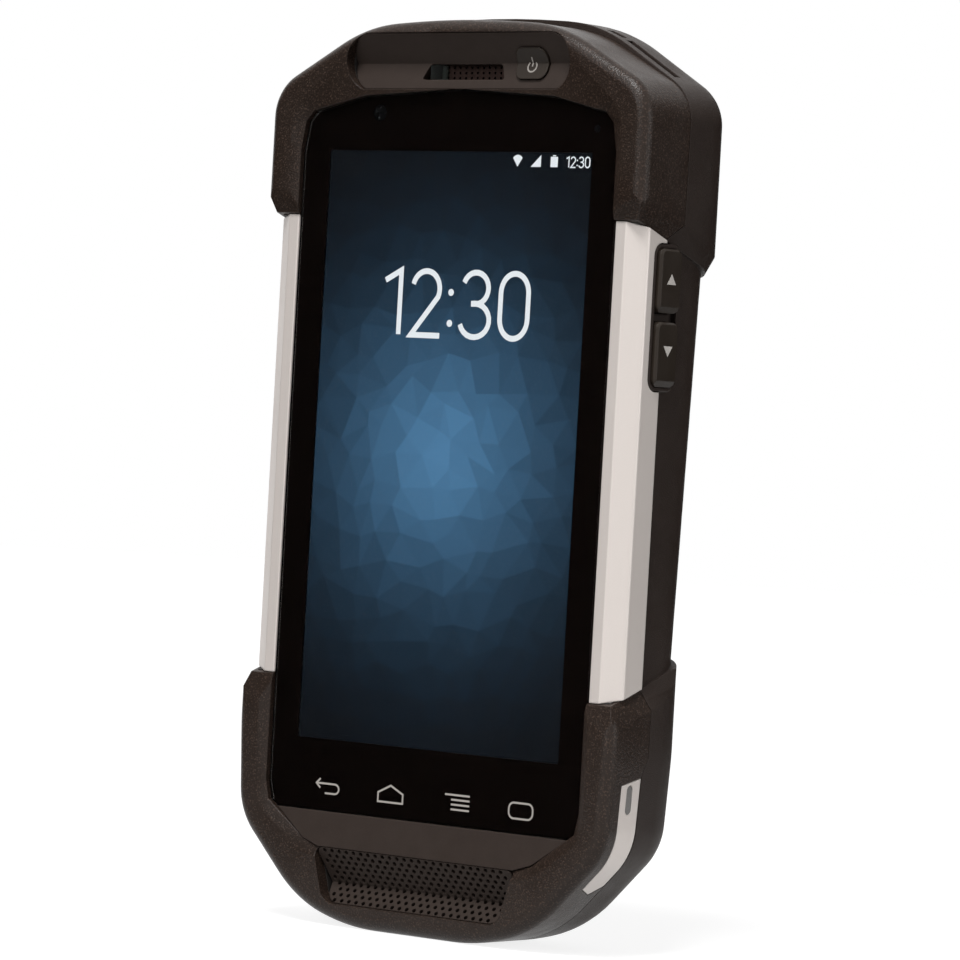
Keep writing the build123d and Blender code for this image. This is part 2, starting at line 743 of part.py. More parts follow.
def mid_frame():
    """Metal plate behind the display."""
    plate = block(
        (-CAVITY_HALF + 2.7, CAVITY_HALF - 2.7),
        (CORE_BACK + 0.1, CORE_BACK + 0.1 + FRAME_PLATE),
        (DISPLAY_BOTTOM + 3.0, SCREW_PLACES[0][1] - BOSS_RADIUS - 0.5),
    )
    rows = 4
    for row in range(rows):
        z = DISPLAY_BOTTOM + (DISPLAY_TOP - DISPLAY_BOTTOM) * (row + 0.8) / (rows + 0.5)
        for x in (-DISPLAY_HALF / 2, DISPLAY_HALF / 2):
            plate -= rod(x, z, 6.0, FRONT, BACK)
    return plate


def lower_bezel():
    """Sloped strip between the glass and the grille."""
    shape = polygon(mirrored(opening_corners(GLASS_GAP - INSERT_GAP)))
    wedge = polygon(
        [
            (CORE_FRONT, GLASS_BOTTOM - INSERT_GAP),
            (GLASS_FRONT, GLASS_BOTTOM - INSERT_GAP),
            (-CHIN_CREST, CHIN_BOTTOM - 1.0),
            (CORE_FRONT, CHIN_BOTTOM - 1.0),
        ]
    )
    return prism(shape, FRONT, BACK) & side_prism(wedge, -WIDTH, WIDTH)


def valley_insert(face, line, wall):
    """Insert whose front follows a bent line in side view, with a rim that stands on the front housing."""
    plug = offset(face, -INSERT_LEDGE - INSERT_GAP)
    room = prism(face, FRONT - 1, INSERT_SEAT) + prism(plug, FRONT - 1, BACK)
    behind = [(depth + wall, up) for depth, up in line]
    skin = room & side_prism(polygon(line + behind[::-1]), -WIDTH, WIDTH)
    footing = [(INSERT_SEAT, line[-1][1]), (INSERT_SEAT, line[0][1])]
    rim = prism(face - plug, FRONT - 1, INSERT_SEAT) & side_prism(polygon(line + footing), -WIDTH, WIDTH)
    return skin + rim


def ear_line():
    """Side view of the recess above the glass: land, valley and wall."""
    return [(GLASS_FRONT - 0.1, GLASS_TOP + GLASS_GAP), (EAR_VALLEY, EAR_VALLEY_Z), (EAR_CREST, EAR_TOP)]


def ear_slot(grow):
    """Sound slot in the land, narrower at its top."""
    corners = [
        (SLOT_HALF_WIDTH + grow, SLOT_BOTTOM - grow, 0.3),
        (SLOT_HALF_WIDTH - SLOT_RAKE + grow, SLOT_BOTTOM + SLOT_HEIGHT + grow, 0.9),
    ]
    return outline(mirrored(corners))


def earpiece_bezel():
    body = valley_insert(ear_outline(0), ear_line(), EAR_WALL)
    body -= prism(ear_slot(0), FRONT, BACK)
    hole = RectangleRounded(POWER_WIDTH + 2 * KEY_GAP, POWER_HEIGHT + 2 * KEY_GAP, POWER_RADIUS)
    return body - prism(Pos(POWER_X, POWER_Z) * hole, FRONT - 1, BACK)


def earpiece_mesh():
    """Perforated plate behind the slot."""
    front = EAR_VALLEY + EAR_WALL + 0.1
    plate = block(
        (-SLOT_HALF_WIDTH - MESH_MARGIN, SLOT_HALF_WIDTH + MESH_MARGIN),
        (front, front + MESH_THICKNESS),
        (SLOT_BOTTOM - MESH_MARGIN, SLOT_BOTTOM + SLOT_HEIGHT + MESH_MARGIN),
    )
    for column in range(-6, 7):
        for row in (-1, 0, 1):
            plate -= rod(column * 1.3, SLOT_BOTTOM + SLOT_HEIGHT / 2 + row * 0.9, 0.25, FRONT, BACK)
    return plate


def earpiece_receiver():
    front = EAR_VALLEY + EAR_WALL + 0.6
    heights = (SLOT_BOTTOM - 2.0, SLOT_BOTTOM + SLOT_HEIGHT + 1.0)
    across = (-RECEIVER_HALF_WIDTH, RECEIVER_HALF_WIDTH)
    body = block(across, (front, BOARD_FRONT - 0.3), heights)
    return fillet(body.edges().filter_by(Axis.Y), 0.8)


def status_light_pipe():
    """Clear pipe at the left end of the slot."""
    x = (-SLOT_HALF_WIDTH + SLOT_RAKE + 0.2, -SLOT_HALF_WIDTH + SLOT_RAKE + 2.8)
    z = (SLOT_BOTTOM + 0.2, SLOT_BOTTOM + SLOT_HEIGHT - 0.2)
    return block(x, (EAR_VALLEY - 0.3, EAR_VALLEY + EAR_WALL), z)


def power_button():
    """Round-cornered cap bent like the recess, and a flange that stops it from falling out."""
    back = CORE_BACK - KEY_TRAVEL - KEY_GAP
    line = [(depth - POWER_PROUD, up) for depth, up in ear_line()]
    footing = [(back, line[-1][1]), (back, line[0][1])]
    face = Pos(POWER_X, POWER_Z) * RectangleRounded(POWER_WIDTH, POWER_HEIGHT, POWER_RADIUS - KEY_GAP)
    cap = prism(face, FRONT - 1, BACK) & side_prism(polygon(line + footing), 0, WIDTH)
    heights = (POWER_Z - POWER_HEIGHT / 2 + POWER_EDGE, POWER_Z + POWER_FLANGE_RISE)
    reach = POWER_WIDTH / 2 - POWER_EDGE
    neck = block((POWER_X - reach, POWER_X + reach), (EAR_VALLEY + POWER_EDGE, CORE_BACK), heights)
    reach = POWER_WIDTH / 2 + KEY_FLANGE
    flange = block((POWER_X - reach, POWER_X + reach), (CORE_BACK, CORE_BACK + KEY_FLANGE), heights)
    return cap + neck + flange


def power_switch():
    top = CORE_BACK + KEY_FLANGE + KEY_TRAVEL + 0.1
    return block((POWER_X - 2, POWER_X + 2), (top, BOARD_FRONT), (POWER_Z - 1.6, POWER_Z + 1.2))


def front_camera():
    """Lens barrel behind the glass, on its square base."""
    front = GLASS_FRONT + GLASS_THICKNESS + LENS_GAP
    barrel = rod(FRONT_CAMERA_X, FRONT_CAMERA_Z, FRONT_CAMERA_RADIUS, front, CORE_BACK)
    barrel -= rod(FRONT_CAMERA_X, FRONT_CAMERA_Z, FRONT_CAMERA_RADIUS / 2, FRONT, front + 0.5)
    half = FRONT_CAMERA_BASE / 2
    base = block(
        (FRONT_CAMERA_X - half, FRONT_CAMERA_X + half),
        (CORE_BACK, BOARD_FRONT - 1.0),
        (FRONT_CAMERA_Z - half, FRONT_CAMERA_Z + half),
    )
    return barrel + base


def light_sensor():
    front = GLASS_FRONT + GLASS_THICKNESS + LENS_GAP
    return rod(LIGHT_SENSOR_X, LIGHT_SENSOR_Z, LIGHT_SENSOR_RADIUS, front, CORE_BACK)


def speaker_grille():
    line = [
        (GRILLE_LOW_CREST, GRILLE_BOTTOM),
        (GRILLE_VALLEY, GRILLE_VALLEY_Z),
        (GRILLE_CREST, GRILLE_TOP),
    ]
    body = valley_insert(grille_outline(0), line, GRILLE_WALL)
    rows = (GRILLE_TOP - GRILLE_BOTTOM) / GRILLE_ROWS
    holes = []
    for row in range(GRILLE_ROWS):
        z = GRILLE_BOTTOM + rows * (row + 0.5)
        for column in range(GRILLE_COLUMNS - row % 2):
            x = (column - (GRILLE_COLUMNS - 1 - row % 2) / 2) * GRILLE_PITCH
            holes.append(rod(x, z, GRILLE_HOLE_RADIUS, FRONT - 1, BACK))
    return body - holes


def loudspeaker():
    low = CAVITY_INSET + 1.4
    across = (-SPEAKER_HALF_WIDTH, SPEAKER_HALF_WIDTH)
    body = block(across, (CORE_BACK + 0.3, BOARD_FRONT), (low, low + SPEAKER_HEIGHT))
    body = fillet(body.edges().filter_by(Axis.Y), 2.0)
    return body - rod(0, low + SPEAKER_HEIGHT / 2, SPEAKER_CONE_RADIUS, FRONT, CORE_BACK + 1.0)


# Side keys: frames belong to the rear housing, keys slide in along X


def key_cap(side, low, high):
    """Side key: round-cornered cap with a sloping toe, and a flange that keeps it in its frame."""
    face = RAIL_HALF_WIDTH + KEY_PROUD
    cap = side_prism(rounded_span((KEY_FRONT, KEY_BACK), (low, high), 0), CAVITY_HALF - 0.1, face)
    toe = [(face - KEY_TOE_DROP, low), (face, low + KEY_TOE), (face + 1, low + KEY_TOE), (face + 1, low)]
    cap = chamfer(cap.faces().sort_by(Axis.X)[-1].edges(), KEY_CHAMFER)
    cap -= prism(polygon(toe), FRONT, BACK)
    flange = block(
        (CAVITY_HALF - 0.1 - KEY_FLANGE, CAVITY_HALF - 0.1),
        (KEY_FRONT - 0.5, FLOOR_FRONT - 0.15),
        (low + 0.2, high - 0.2),
    )
    key = cap + flange
    return mirror(key, about=Plane.YZ) if side < 0 else key


def keys_height(side):
    """Lowest and highest place of a pair of keys."""
    upper, lower = key_spans(side)
    return lower[0], upper[1]


def key_spans(side):
    """Heights of the two keys on a side, the upper one first."""
    upper_length, lower_length = (
        (VOLUME_KEY_LENGTH, VOLUME_KEY_LENGTH) if side > 0 else (SCAN_KEY_LENGTH, TALK_KEY_LENGTH)
    )
    upper = (KEY_TOP - upper_length + KEY_GAP, KEY_TOP - KEY_GAP)
    lower_top = KEY_TOP - upper_length - KEY_SPLIT
    return upper, (lower_top - lower_length + KEY_GAP, lower_top)


def rounded_span(depths, heights, grow):
    """Side view of a key or of an opening around it, with rounded corners."""
    (front, back), (low, high) = depths, heights
    face = RectangleRounded(back - front + 2 * grow, high - low + 2 * grow, KEY_CORNER + grow)
    return Pos((front + back) / 2, (low + high) / 2) * face


def key_switches(side):
    """Dome switches on their flexible strip, just inside the keys."""
    face = CAVITY_HALF - 0.1 - KEY_FLANGE - KEY_TRAVEL - 0.1
    middle_y = (KEY_FRONT + KEY_BACK) / 2
    spans = key_spans(side)
    ribbon = (middle_y - SWITCH_WIDTH, middle_y + SWITCH_WIDTH)
    strip = block((face - 0.9, face - 0.7), ribbon, (spans[1][0], spans[0][1]))
    for low, high in spans:
        middle = (low + high) / 2
        dome = (middle_y - SWITCH_WIDTH / 2, middle_y + SWITCH_WIDTH / 2)
        strip += block((face - 0.7, face), dome, (middle - 1.5, middle + 1.5))
    return mirror(strip, about=Plane.YZ) if side < 0 else strip


# Rear housing


def grip_body():
    """Middle of the back: rounded section that gets thinner downwards."""

    def section(up):
        share = (up - GRIP_BOTTOM_Z) / (GRIP_TOP_Z - GRIP_BOTTOM_Z)
        back = GRIP_BACK_BOTTOM + share * (GRIP_BACK_TOP - GRIP_BACK_BOTTOM)
        face = outline(
            [
                (-GRIP_HALF_WIDTH, KEY_FRONT - 1.5, 0),
                (GRIP_HALF_WIDTH, KEY_FRONT - 1.5, 0),
                (GRIP_HALF_WIDTH, back, GRIP_EDGE_RADIUS),
                (-GRIP_HALF_WIDTH, back, GRIP_EDGE_RADIUS),
            ]
        )
        return Plane.XY.offset(up) * face

    return loft([section(WAIST_Z - 4.0), section(slant_at(0) + 8.0)], ruled=True)


def pack_back(up):
    """Depth of the grip's back surface at a height."""
    share = (up - GRIP_BOTTOM_Z) / (GRIP_TOP_Z - GRIP_BOTTOM_Z)
    return GRIP_BACK_BOTTOM + share * (GRIP_BACK_TOP - GRIP_BACK_BOTTOM)


def key_frame(side):
    """Raised frame around a pair of side keys."""
    face = rounded_span((KEY_FRONT, KEY_BACK), keys_height(side), KEY_GAP + KEY_FRAME)
    frame = side_prism(face, CAVITY_HALF, RAIL_HALF_WIDTH)
    frame = chamfer(frame.faces().sort_by(Axis.X)[-1].edges(), 0.25)
    return mirror(frame, about=Plane.YZ) if side < 0 else frame


def key_pocket(side):
    """Hole for each key, and the sunk top of the rib between them."""
    depths = (KEY_FRONT, KEY_BACK)
    sunk = rounded_span(depths, keys_height(side), KEY_GAP)
    pocket = side_prism(sunk, RAIL_HALF_WIDTH - KEY_RIB_SINK, WIDTH)
    for span in key_spans(side):
        pocket += side_prism(rounded_span(depths, span, KEY_GAP), CAVITY_HALF - 1, WIDTH)
    return mirror(pocket, about=Plane.YZ) if side < 0 else pocket


def tether_slots():
    """Two short slots with a rib between, across each top corner, joined under the rib."""
    run = HALF_WIDTH - SHOULDER_X
    rise = (LENGTH - SHOULDER_DROP) - (LENGTH - HEAD_CORNER_DROP)
    angle = math.degrees(math.atan2(rise, run))
    along = math.hypot(run, rise)
    total = TETHER_LONG + TETHER_RIB + TETHER_SHORT
    centre = TETHER_START + total / 2
    x = HALF_WIDTH - run * centre / along
    z = LENGTH - HEAD_CORNER_DROP + rise * centre / along
    reach = TETHER_DEPTH

    def slot(middle, length, low, high):
        return Pos(middle, 0, (low + high) / 2) * Box(length, TETHER_WIDTH, high - low)

    long_middle = total / 2 - TETHER_LONG / 2
    short_middle = -total / 2 + TETHER_SHORT / 2
    cut = slot(long_middle, TETHER_LONG, -reach, 6)
    cut += slot(short_middle, TETHER_SHORT, -reach, 6)
    cut += slot(0, total, -reach, -reach / 2)
    right = Pos(x, TETHER_Y, z) * Rot(0, angle, 0) * cut
    return right + mirror(right, about=Plane.YZ)


def pill(x_low, x_high, z, radius, front, back):
    """Rounded-end plate or recess along X."""
    return prism(Pos((x_low + x_high) / 2, z) * SlotOverall(x_high - x_low, 2 * radius), front, back)


def camera_pill(grow, front, back):
    radius = CAMERA_RADIUS + PILL_MARGIN + grow
    return pill(CAMERA_X - radius, CAMERA_X + FLASH_OFFSET + radius, CAMERA_Z, radius, front, back)


def lock_spans(grow):
    """Across, depth and height of the lock's sliding plate, at rest."""
    middle = -LOCK_TRAVEL / 2
    half_height = LOCK_HALF_HEIGHT + LOCK_FLANGE
    return (
        (middle - LOCK_HALF_LENGTH - LOCK_FLANGE - grow, middle + LOCK_HALF_LENGTH + LOCK_FLANGE + grow),
        (LOCK_INNER - grow, LOCK_INNER + LOCK_PLATE + grow),
        (LOCK_Z - half_height - grow, LOCK_Z + half_height + grow),
    )


def lock_room():
    """Space for the lock: plate, knob window and tongue slot, over the whole travel."""
    across, depth, height = lock_spans(LOCK_GAP)
    room = block((across[0], across[1] + LOCK_TRAVEL), depth, height)
    window_x = (across[0] + LOCK_FLANGE, across[1] + LOCK_TRAVEL - LOCK_FLANGE)
    window_z = (height[0] + LOCK_FLANGE, height[1] - LOCK_FLANGE)
    room += block(window_x, (LOCK_INNER, BACK + 1), window_z)
    tongue = (-TONGUE_WIDTH - 0.5 - LOCK_GAP, -0.5 + LOCK_TRAVEL + LOCK_GAP)
    return room + block(tongue, depth, (PACK_TOP - 1, LOCK_Z))


def battery_lock():
    """Slide on the back: its tongue drops behind the pack's edge when it is pushed across."""
    across, depth, height = lock_spans(0)
    plate = block(across, depth, height)
    middle = -LOCK_TRAVEL / 2
    knob = block(
        (middle - LOCK_HALF_LENGTH + 0.1, middle + LOCK_HALF_LENGTH - 0.1),
        (LOCK_INNER + LOCK_PLATE, LOCK_TOP),
        (LOCK_Z - LOCK_HALF_HEIGHT + 0.1, LOCK_Z + LOCK_HALF_HEIGHT - 0.1),
    )
    knob = chamfer(knob.faces().sort_by(Axis.Y)[-1].edges(), 0.5)
    for step in range(-3, 4):
        knob -= block(
            (middle + step * 2.0 - 0.4, middle + step * 2.0 + 0.4),
            (LOCK_TOP - 0.5, BACK + 1),
            (LOCK_Z - 2.4, LOCK_Z + 2.4),
        )
    tongue = block((-TONGUE_WIDTH - 0.5, -0.5), depth, (PACK_TOP - TONGUE_REACH, LOCK_Z))
    return plate + knob + tongue


def back_surface(z):
    """Depth of the back surface of the head or the foot, whichever a height lies in."""
    return BACK if z > RAIL_MIDDLE_Z else FOOT_BACK


def seat_depth(z):
    """Depth of a screw head's seat, below the back surface at that height."""
    return back_surface(z) - SCREW_HEAD_HEIGHT - SCREW_SINK


def rear_body():
    """Outer form of the rear housing before it is hollowed."""
    whole = terminal_outline(LENGTH)
    low = terminal_outline(FRONT_CROWN)
    start = KEY_FRONT - 2.0
    head = rounded_slab(whole, start, BACK, HEAD_EDGE_RADIUS, True) & head_zone()
    foot = rounded_slab(low, start, FOOT_BACK, FOOT_EDGE_RADIUS, True) & foot_zone()
    return head + foot + grip_body()


def rear_cavity():
    """Inner space: shallow behind the battery bay, deep in the head, the foot and the grip sides."""
    inner = offset(terminal_outline(FRONT_CROWN), -CAVITY_INSET)
    bay_top = PACK_TOP + PACK_GAP
    space = prism(inner, FRONT, FLOOR_FRONT)
    head_room = prism(inner, FRONT, LOCK_INNER - LOCK_GAP - 1.6) & block(
        (-WIDTH, WIDTH), (FRONT, BACK), (bay_top + 5.0, LENGTH)
    )
    high_room = prism(inner, FRONT, BACK - BACK_WALL) & block(
        (-WIDTH, WIDTH), (FRONT, BACK), (LOCK_Z + LOCK_HALF_HEIGHT + LOCK_FLANGE + 1.4, LENGTH)
    )
    foot_room = prism(inner, FRONT, FOOT_BACK - BACK_WALL) & block(
        (-WIDTH, WIDTH), (FRONT, BACK), (0, PACK_BOTTOM - PACK_GAP - 2.6)
    )
    space += head_room + high_room + foot_room
    for side in (-1, 1):
        near, far = sorted((side * (PACK_HALF_WIDTH + PACK_GAP + 2.0), side * (CAVITY_HALF - 0.7)))
        space += block((near, far), (FRONT, GRIP_ROOM_BACK), (HOOK_Z + 6.0, bay_top))
    return space


def rear_housing():
    body = rear_body()
    for side in (-1, 1):
        body += key_frame(side)
    body -= front_zone(SEAM_GAP)
    body -= rear_cavity()
    half = PACK_HALF_WIDTH + PACK_GAP
    body -= block((-half, half), (BAY_FLOOR, 2 * BACK), (PACK_BOTTOM - PACK_GAP, PACK_TOP + PACK_GAP))
    for side in (-1, 1):
        body -= key_pocket(side)
    reach = PACK_HALF_WIDTH + HOOK_LENGTH + 0.3
    body -= cross_rod(HOOK_Y, HOOK_Z, HOOK_RADIUS + HOOK_CLEARANCE, -reach, reach)
    body -= lock_room()
    half = PAD_COUNT * PAD_PITCH / 2 + 1.0
    body -= block((-half, half), (FRONT, BAY_FLOOR + 1), (PAD_Z - 4.5, PAD_Z + 4.5))
    body -= tether_slots()
    window = (-WINDOW_HALF_WIDTH, WINDOW_HALF_WIDTH)
    body -= block(window, (WINDOW_FRONT, WINDOW_BACK), (LENGTH - WINDOW_SINK, FAR))
    light_way = (WINDOW_HALF_WIDTH - 1.5, WINDOW_FRONT + 1.0, WINDOW_BACK - 1.0)
    body -= block((-light_way[0], light_way[0]), light_way[1:], (LENGTH - 12, FAR))
    body -= camera_pill(0.1, BACK - CAMERA_GLASS - 0.2, 2 * BACK)
    body -= rod(CAMERA_X, CAMERA_Z, CAMERA_RADIUS + 0.2, 0, BACK)
    body -= rod(CAMERA_X + FLASH_OFFSET, CAMERA_Z, FLASH_RADIUS + 0.2, 0, BACK)
    span = CONTACT_PITCH * CONTACT_COUNT / 2 + CONTACT_MARGIN
    body -= block((-span, span), (FOOT_BACK - CONTACT_SINK, BACK), contact_heights(CONTACT_MARGIN))
    for x in contact_places():
        body -= block((x - CONTACT_WIDTH / 2, x + CONTACT_WIDTH / 2), (0, BACK), contact_heights(0))
    body -= Pos(MIC_X, 0, 3) * Cylinder(MIC_HOLE_RADIUS, 12)
    for place in SCREW_PLACES:
        for x, z in both_sides(place):
            seat = seat_depth(z)
            post = rod(x, z, POST_RADIUS, RAIL_BACK, back_surface(z) - POST_COVER) - front_zone(SEAM_GAP)
            body += post
            body -= rod(x, z, SCREW_RADIUS + SCREW_CLEARANCE, FRONT, BACK)
            body -= rod(x, z, SCREW_HEAD_RADIUS + SCREW_CLEARANCE, seat, 2 * BACK)
    return body


def housing_screws():
    screws = []
    for place in SCREW_PLACES:
        for x, z in both_sides(place):
            seat = seat_depth(z)
            head = rod(x, z, SCREW_HEAD_RADIUS, seat, seat + SCREW_HEAD_HEIGHT)
            socket = Plane.XZ.offset(-seat - SCREW_HEAD_HEIGHT) * Pos(x, z) * RegularPolygon(1.1, 6)
            head -= extrude(socket, 0.9)
            screws.append(head + rod(x, z, SCREW_RADIUS, CORE_BACK + 1.4, seat))
    return group(screws)


# Battery pack


def pack_shell():
    """Tub and end cap of the pack in one, with the hooks at its foot and the lock's notch at its top."""
    outer_top, outer_bottom = pack_back(PACK_TOP), pack_back(PACK_BOTTOM)
    profile = outline(
        [
            (PACK_INNER, PACK_TOP, 0.2),
            (outer_top, PACK_TOP, 0.6),
            (outer_bottom, PACK_BOTTOM, HOOK_ARC),
            (PACK_INNER, PACK_BOTTOM, 1.0),
        ]
    )
    tub = side_prism(profile, -PACK_HALF_WIDTH, PACK_HALF_WIDTH)
    inside = PACK_HALF_WIDTH - PACK_WALL
    low, high = HOOK_Z + HOOK_RADIUS + 0.6, PACK_TOP - NOTCH_DEPTH - PACK_WALL - 2.4
    tub -= block((-inside, inside), (PACK_INNER - 1, outer_bottom - 1.2), (low, high))
    tongue_low, tongue_high = -TONGUE_WIDTH - 0.5, -0.5
    notch = (PACK_TOP - NOTCH_DEPTH, FAR)
    tub -= block((tongue_low - 0.5, tongue_high + 0.5), (-FAR, FAR), notch)
    tub -= block((tongue_low - 0.5, tongue_high + LOCK_TRAVEL + 0.5), (LOCK_INNER - LOCK_GAP, FAR), notch)
    reach = PACK_HALF_WIDTH + HOOK_LENGTH
    for side in (-1, 1):
        tub += cross_rod(HOOK_Y, HOOK_Z, HOOK_RADIUS, *sorted((side * (PACK_HALF_WIDTH - 2), side * reach)))
    return tub


def battery_case():
    return pack_shell() & block((-WIDTH, WIDTH), (-FAR, FAR), (0, CAP_SEAM))


def battery_end_cap():
    """Separate top end of the pack, which holds the lock's notch."""
    return pack_shell() & block((-WIDTH, WIDTH), (-FAR, FAR), (CAP_SEAM + CAP_GAP, LENGTH))


def pack_lid_spans():
    inside = PACK_HALF_WIDTH - PACK_WALL - 0.05
    low, high = HOOK_Z + HOOK_RADIUS + 0.65, PACK_TOP - NOTCH_DEPTH - PACK_WALL - 2.45
    return (-inside, inside), (PACK_INNER, PACK_INNER + PACK_LID), (low, high)


def battery_lid():
    lid = block(*pack_lid_spans())
    for x in pad_places():
        lid -= pad_block(x, 0.05)
    return lid


def pad_places():
    return [(number - (PAD_COUNT - 1) / 2) * PAD_PITCH for number in range(PAD_COUNT)]


def pad_block(x, margin):
    """Shallow block for a pad, or for its recess when there is a margin."""
    half_width, half_height = PAD_WIDTH / 2 + margin, PAD_HEIGHT / 2 + margin
    return block(
        (x - half_width, x + half_width),
        (PACK_INNER, PACK_INNER + PAD_THICKNESS),
        (PAD_Z - half_height, PAD_Z + half_height),
    )


def battery_pads():
    return group([pad_block(x, 0) for x in pad_places()])


def battery_cell():
    across, depth, height = pack_lid_spans()
    front, back = depth[1] + CELL_GAP, pack_back(PACK_BOTTOM) - 1.2 - CELL_GAP
    cell = block(
        (across[0] + CELL_GAP, across[1] - CELL_GAP),
        (front, back),
        (height[0] + CELL_GAP, height[1] - CELL_GAP - 3.0),
    )
    return fillet(cell.edges().filter_by(Axis.Z), min(CELL_RADIUS, 0.45 * (back - front)))


def battery_contacts():
    """Spring fingers that reach through the bay floor to the pack's pads."""
    fingers = []
    for x in pad_places():
        finger = block((x - 0.8, x + 0.8), (BOARD_BACK, PACK_INNER - 0.05), (PAD_Z - 0.9, PAD_Z + 0.9))
        finger += block((x - 0.8, x + 0.8), (BOARD_BACK, BOARD_BACK + 0.6), (PAD_Z - 2.9, PAD_Z + 2.9))
        fingers.append(finger)
    return group(fingers)


# Electronics


def board_outline():
    right_half = [
        (BOARD_HEAD_HALF, BOARD_TOP, 1.0),
        (BOARD_HEAD_HALF, BOARD_SHOULDER, 1.0),
        (BOARD_HALF_WIDTH, BOARD_SHOULDER, 1.0),
        (BOARD_HALF_WIDTH, BOARD_BOTTOM, 2.0),
    ]
    return outline(mirrored(right_half))


def main_board():
    return prism(board_outline(), BOARD_FRONT, BOARD_BACK)


def board_shields():
    """Shield cans on the board's back, each (x, z, width, height)."""
    cans = []
    for x, z, width, height in SHIELD_CANS:
        across = (x - width / 2, x + width / 2)
        heights = (z - height / 2, z + height / 2)
        can = block(across, (BOARD_BACK, BOARD_BACK + SHIELD_HEIGHT), heights)
        cans.append(fillet(can.faces().sort_by(Axis.Y)[-1].edges(), 0.4))
    return group(cans)


def scan_engine():
    """Barcode module under the scan window, with its lens and its aimer side by side."""
    top = LENGTH - ENGINE_DROP
    depths = (WINDOW_FRONT - 0.3, WINDOW_BACK + 0.1)
    body = block((-ENGINE_HALF_WIDTH, ENGINE_HALF_WIDTH), depths, (top - ENGINE_LENGTH, top))
    body = chamfer(body.edges().filter_by(Axis.Z), 0.8)
    for x in (-ENGINE_HALF_WIDTH / 2, ENGINE_HALF_WIDTH / 2):
        body -= Pos(x, sum(depths) / 2, top) * Cylinder(ENGINE_LENS_RADIUS, 3.0)
    return body


def scan_window():
    top = LENGTH - WINDOW_SINK + WINDOW_THICKNESS
    return block(
        (-WINDOW_HALF_WIDTH + 0.1, WINDOW_HALF_WIDTH - 0.1),
        (WINDOW_FRONT + 0.1, WINDOW_BACK - 0.1),
        (LENGTH - WINDOW_SINK, top),
    )


def rear_camera():
    """Camera block inside the back wall, with its barrel up to the window."""
    half = CAMERA_BASE / 2
    wall = BACK - BACK_WALL - 0.1
    body = block((CAMERA_X - half, CAMERA_X + half), (wall - 6.4, wall), (CAMERA_Z - half, CAMERA_Z + half))
    barrel = rod(CAMERA_X, CAMERA_Z, CAMERA_RADIUS, wall, BACK - CAMERA_GLASS - 0.3)
    barrel -= rod(CAMERA_X, CAMERA_Z, CAMERA_RADIUS / 2, BACK - CAMERA_GLASS - 1.0, BACK)
    return body + barrel


def camera_flash():
    depths = (BACK - BACK_WALL - 0.6, BACK - CAMERA_GLASS - 0.4)
    return rod(CAMERA_X + FLASH_OFFSET, CAMERA_Z, FLASH_RADIUS, *depths)


def camera_window():
    return camera_pill(0, BACK - CAMERA_GLASS - 0.2, BACK - 0.2)


def contact_places():
    return [(number - (CONTACT_COUNT - 1) / 2) * CONTACT_PITCH for number in range(CONTACT_COUNT)]


def contact_heights(margin):
    half = CONTACT_HEIGHT / 2 + margin
    return (CONTACT_Z - half, CONTACT_Z + half)


def dock_contacts():
    """Row of gold pads through the back of the foot, for a charging cradle."""
    depths = (FOOT_BACK - BACK_WALL - 1.0, FOOT_BACK - CONTACT_SINK + 0.2)
    pads = []
    for x in contact_places():
        pad = block((x - CONTACT_WIDTH / 2, x + CONTACT_WIDTH / 2), depths, contact_heights(0))
        pads.append(fillet(pad.faces().sort_by(Axis.Y)[-1].edges(), 0.2))
    return group(pads)


def microphone():
    return Pos(MIC_X, 0, CAVITY_INSET + 1.0) * Cylinder(MIC_RADIUS, MIC_HEIGHT)


def vibration_motor():
    """Can, and a half-round weight on its shaft."""
    end = MOTOR_START + MOTOR_LENGTH
    tip = end + WEIGHT_LENGTH
    can = cross_rod(MOTOR_Y, MOTOR_Z, MOTOR_RADIUS, MOTOR_START, end)
    upper_half = block((end, tip), (FRONT, BACK), (MOTOR_Z, 2 * MOTOR_Z))
    weight = cross_rod(MOTOR_Y, MOTOR_Z, WEIGHT_RADIUS, end + 0.4, tip) & upper_half
    return can + weight + cross_rod(MOTOR_Y, MOTOR_Z, 0.6, end - 0.2, tip)


def antennas():
    """Two flat antennas in the grip sides."""
    plates = []
    for side in (-1, 1):
        inner = PACK_HALF_WIDTH + ANTENNA_WALL_GAP
        near, far = sorted((side * inner, side * (inner + ANTENNA_THICKNESS)))
        heights = (RAIL_MIDDLE_Z - ANTENNA_LENGTH / 2, RAIL_MIDDLE_Z + ANTENNA_LENGTH / 2)
        plates.append(block((near, far), (FLOOR_FRONT + 0.5, FLOOR_FRONT + 6.0), heights))
    return group(plates)


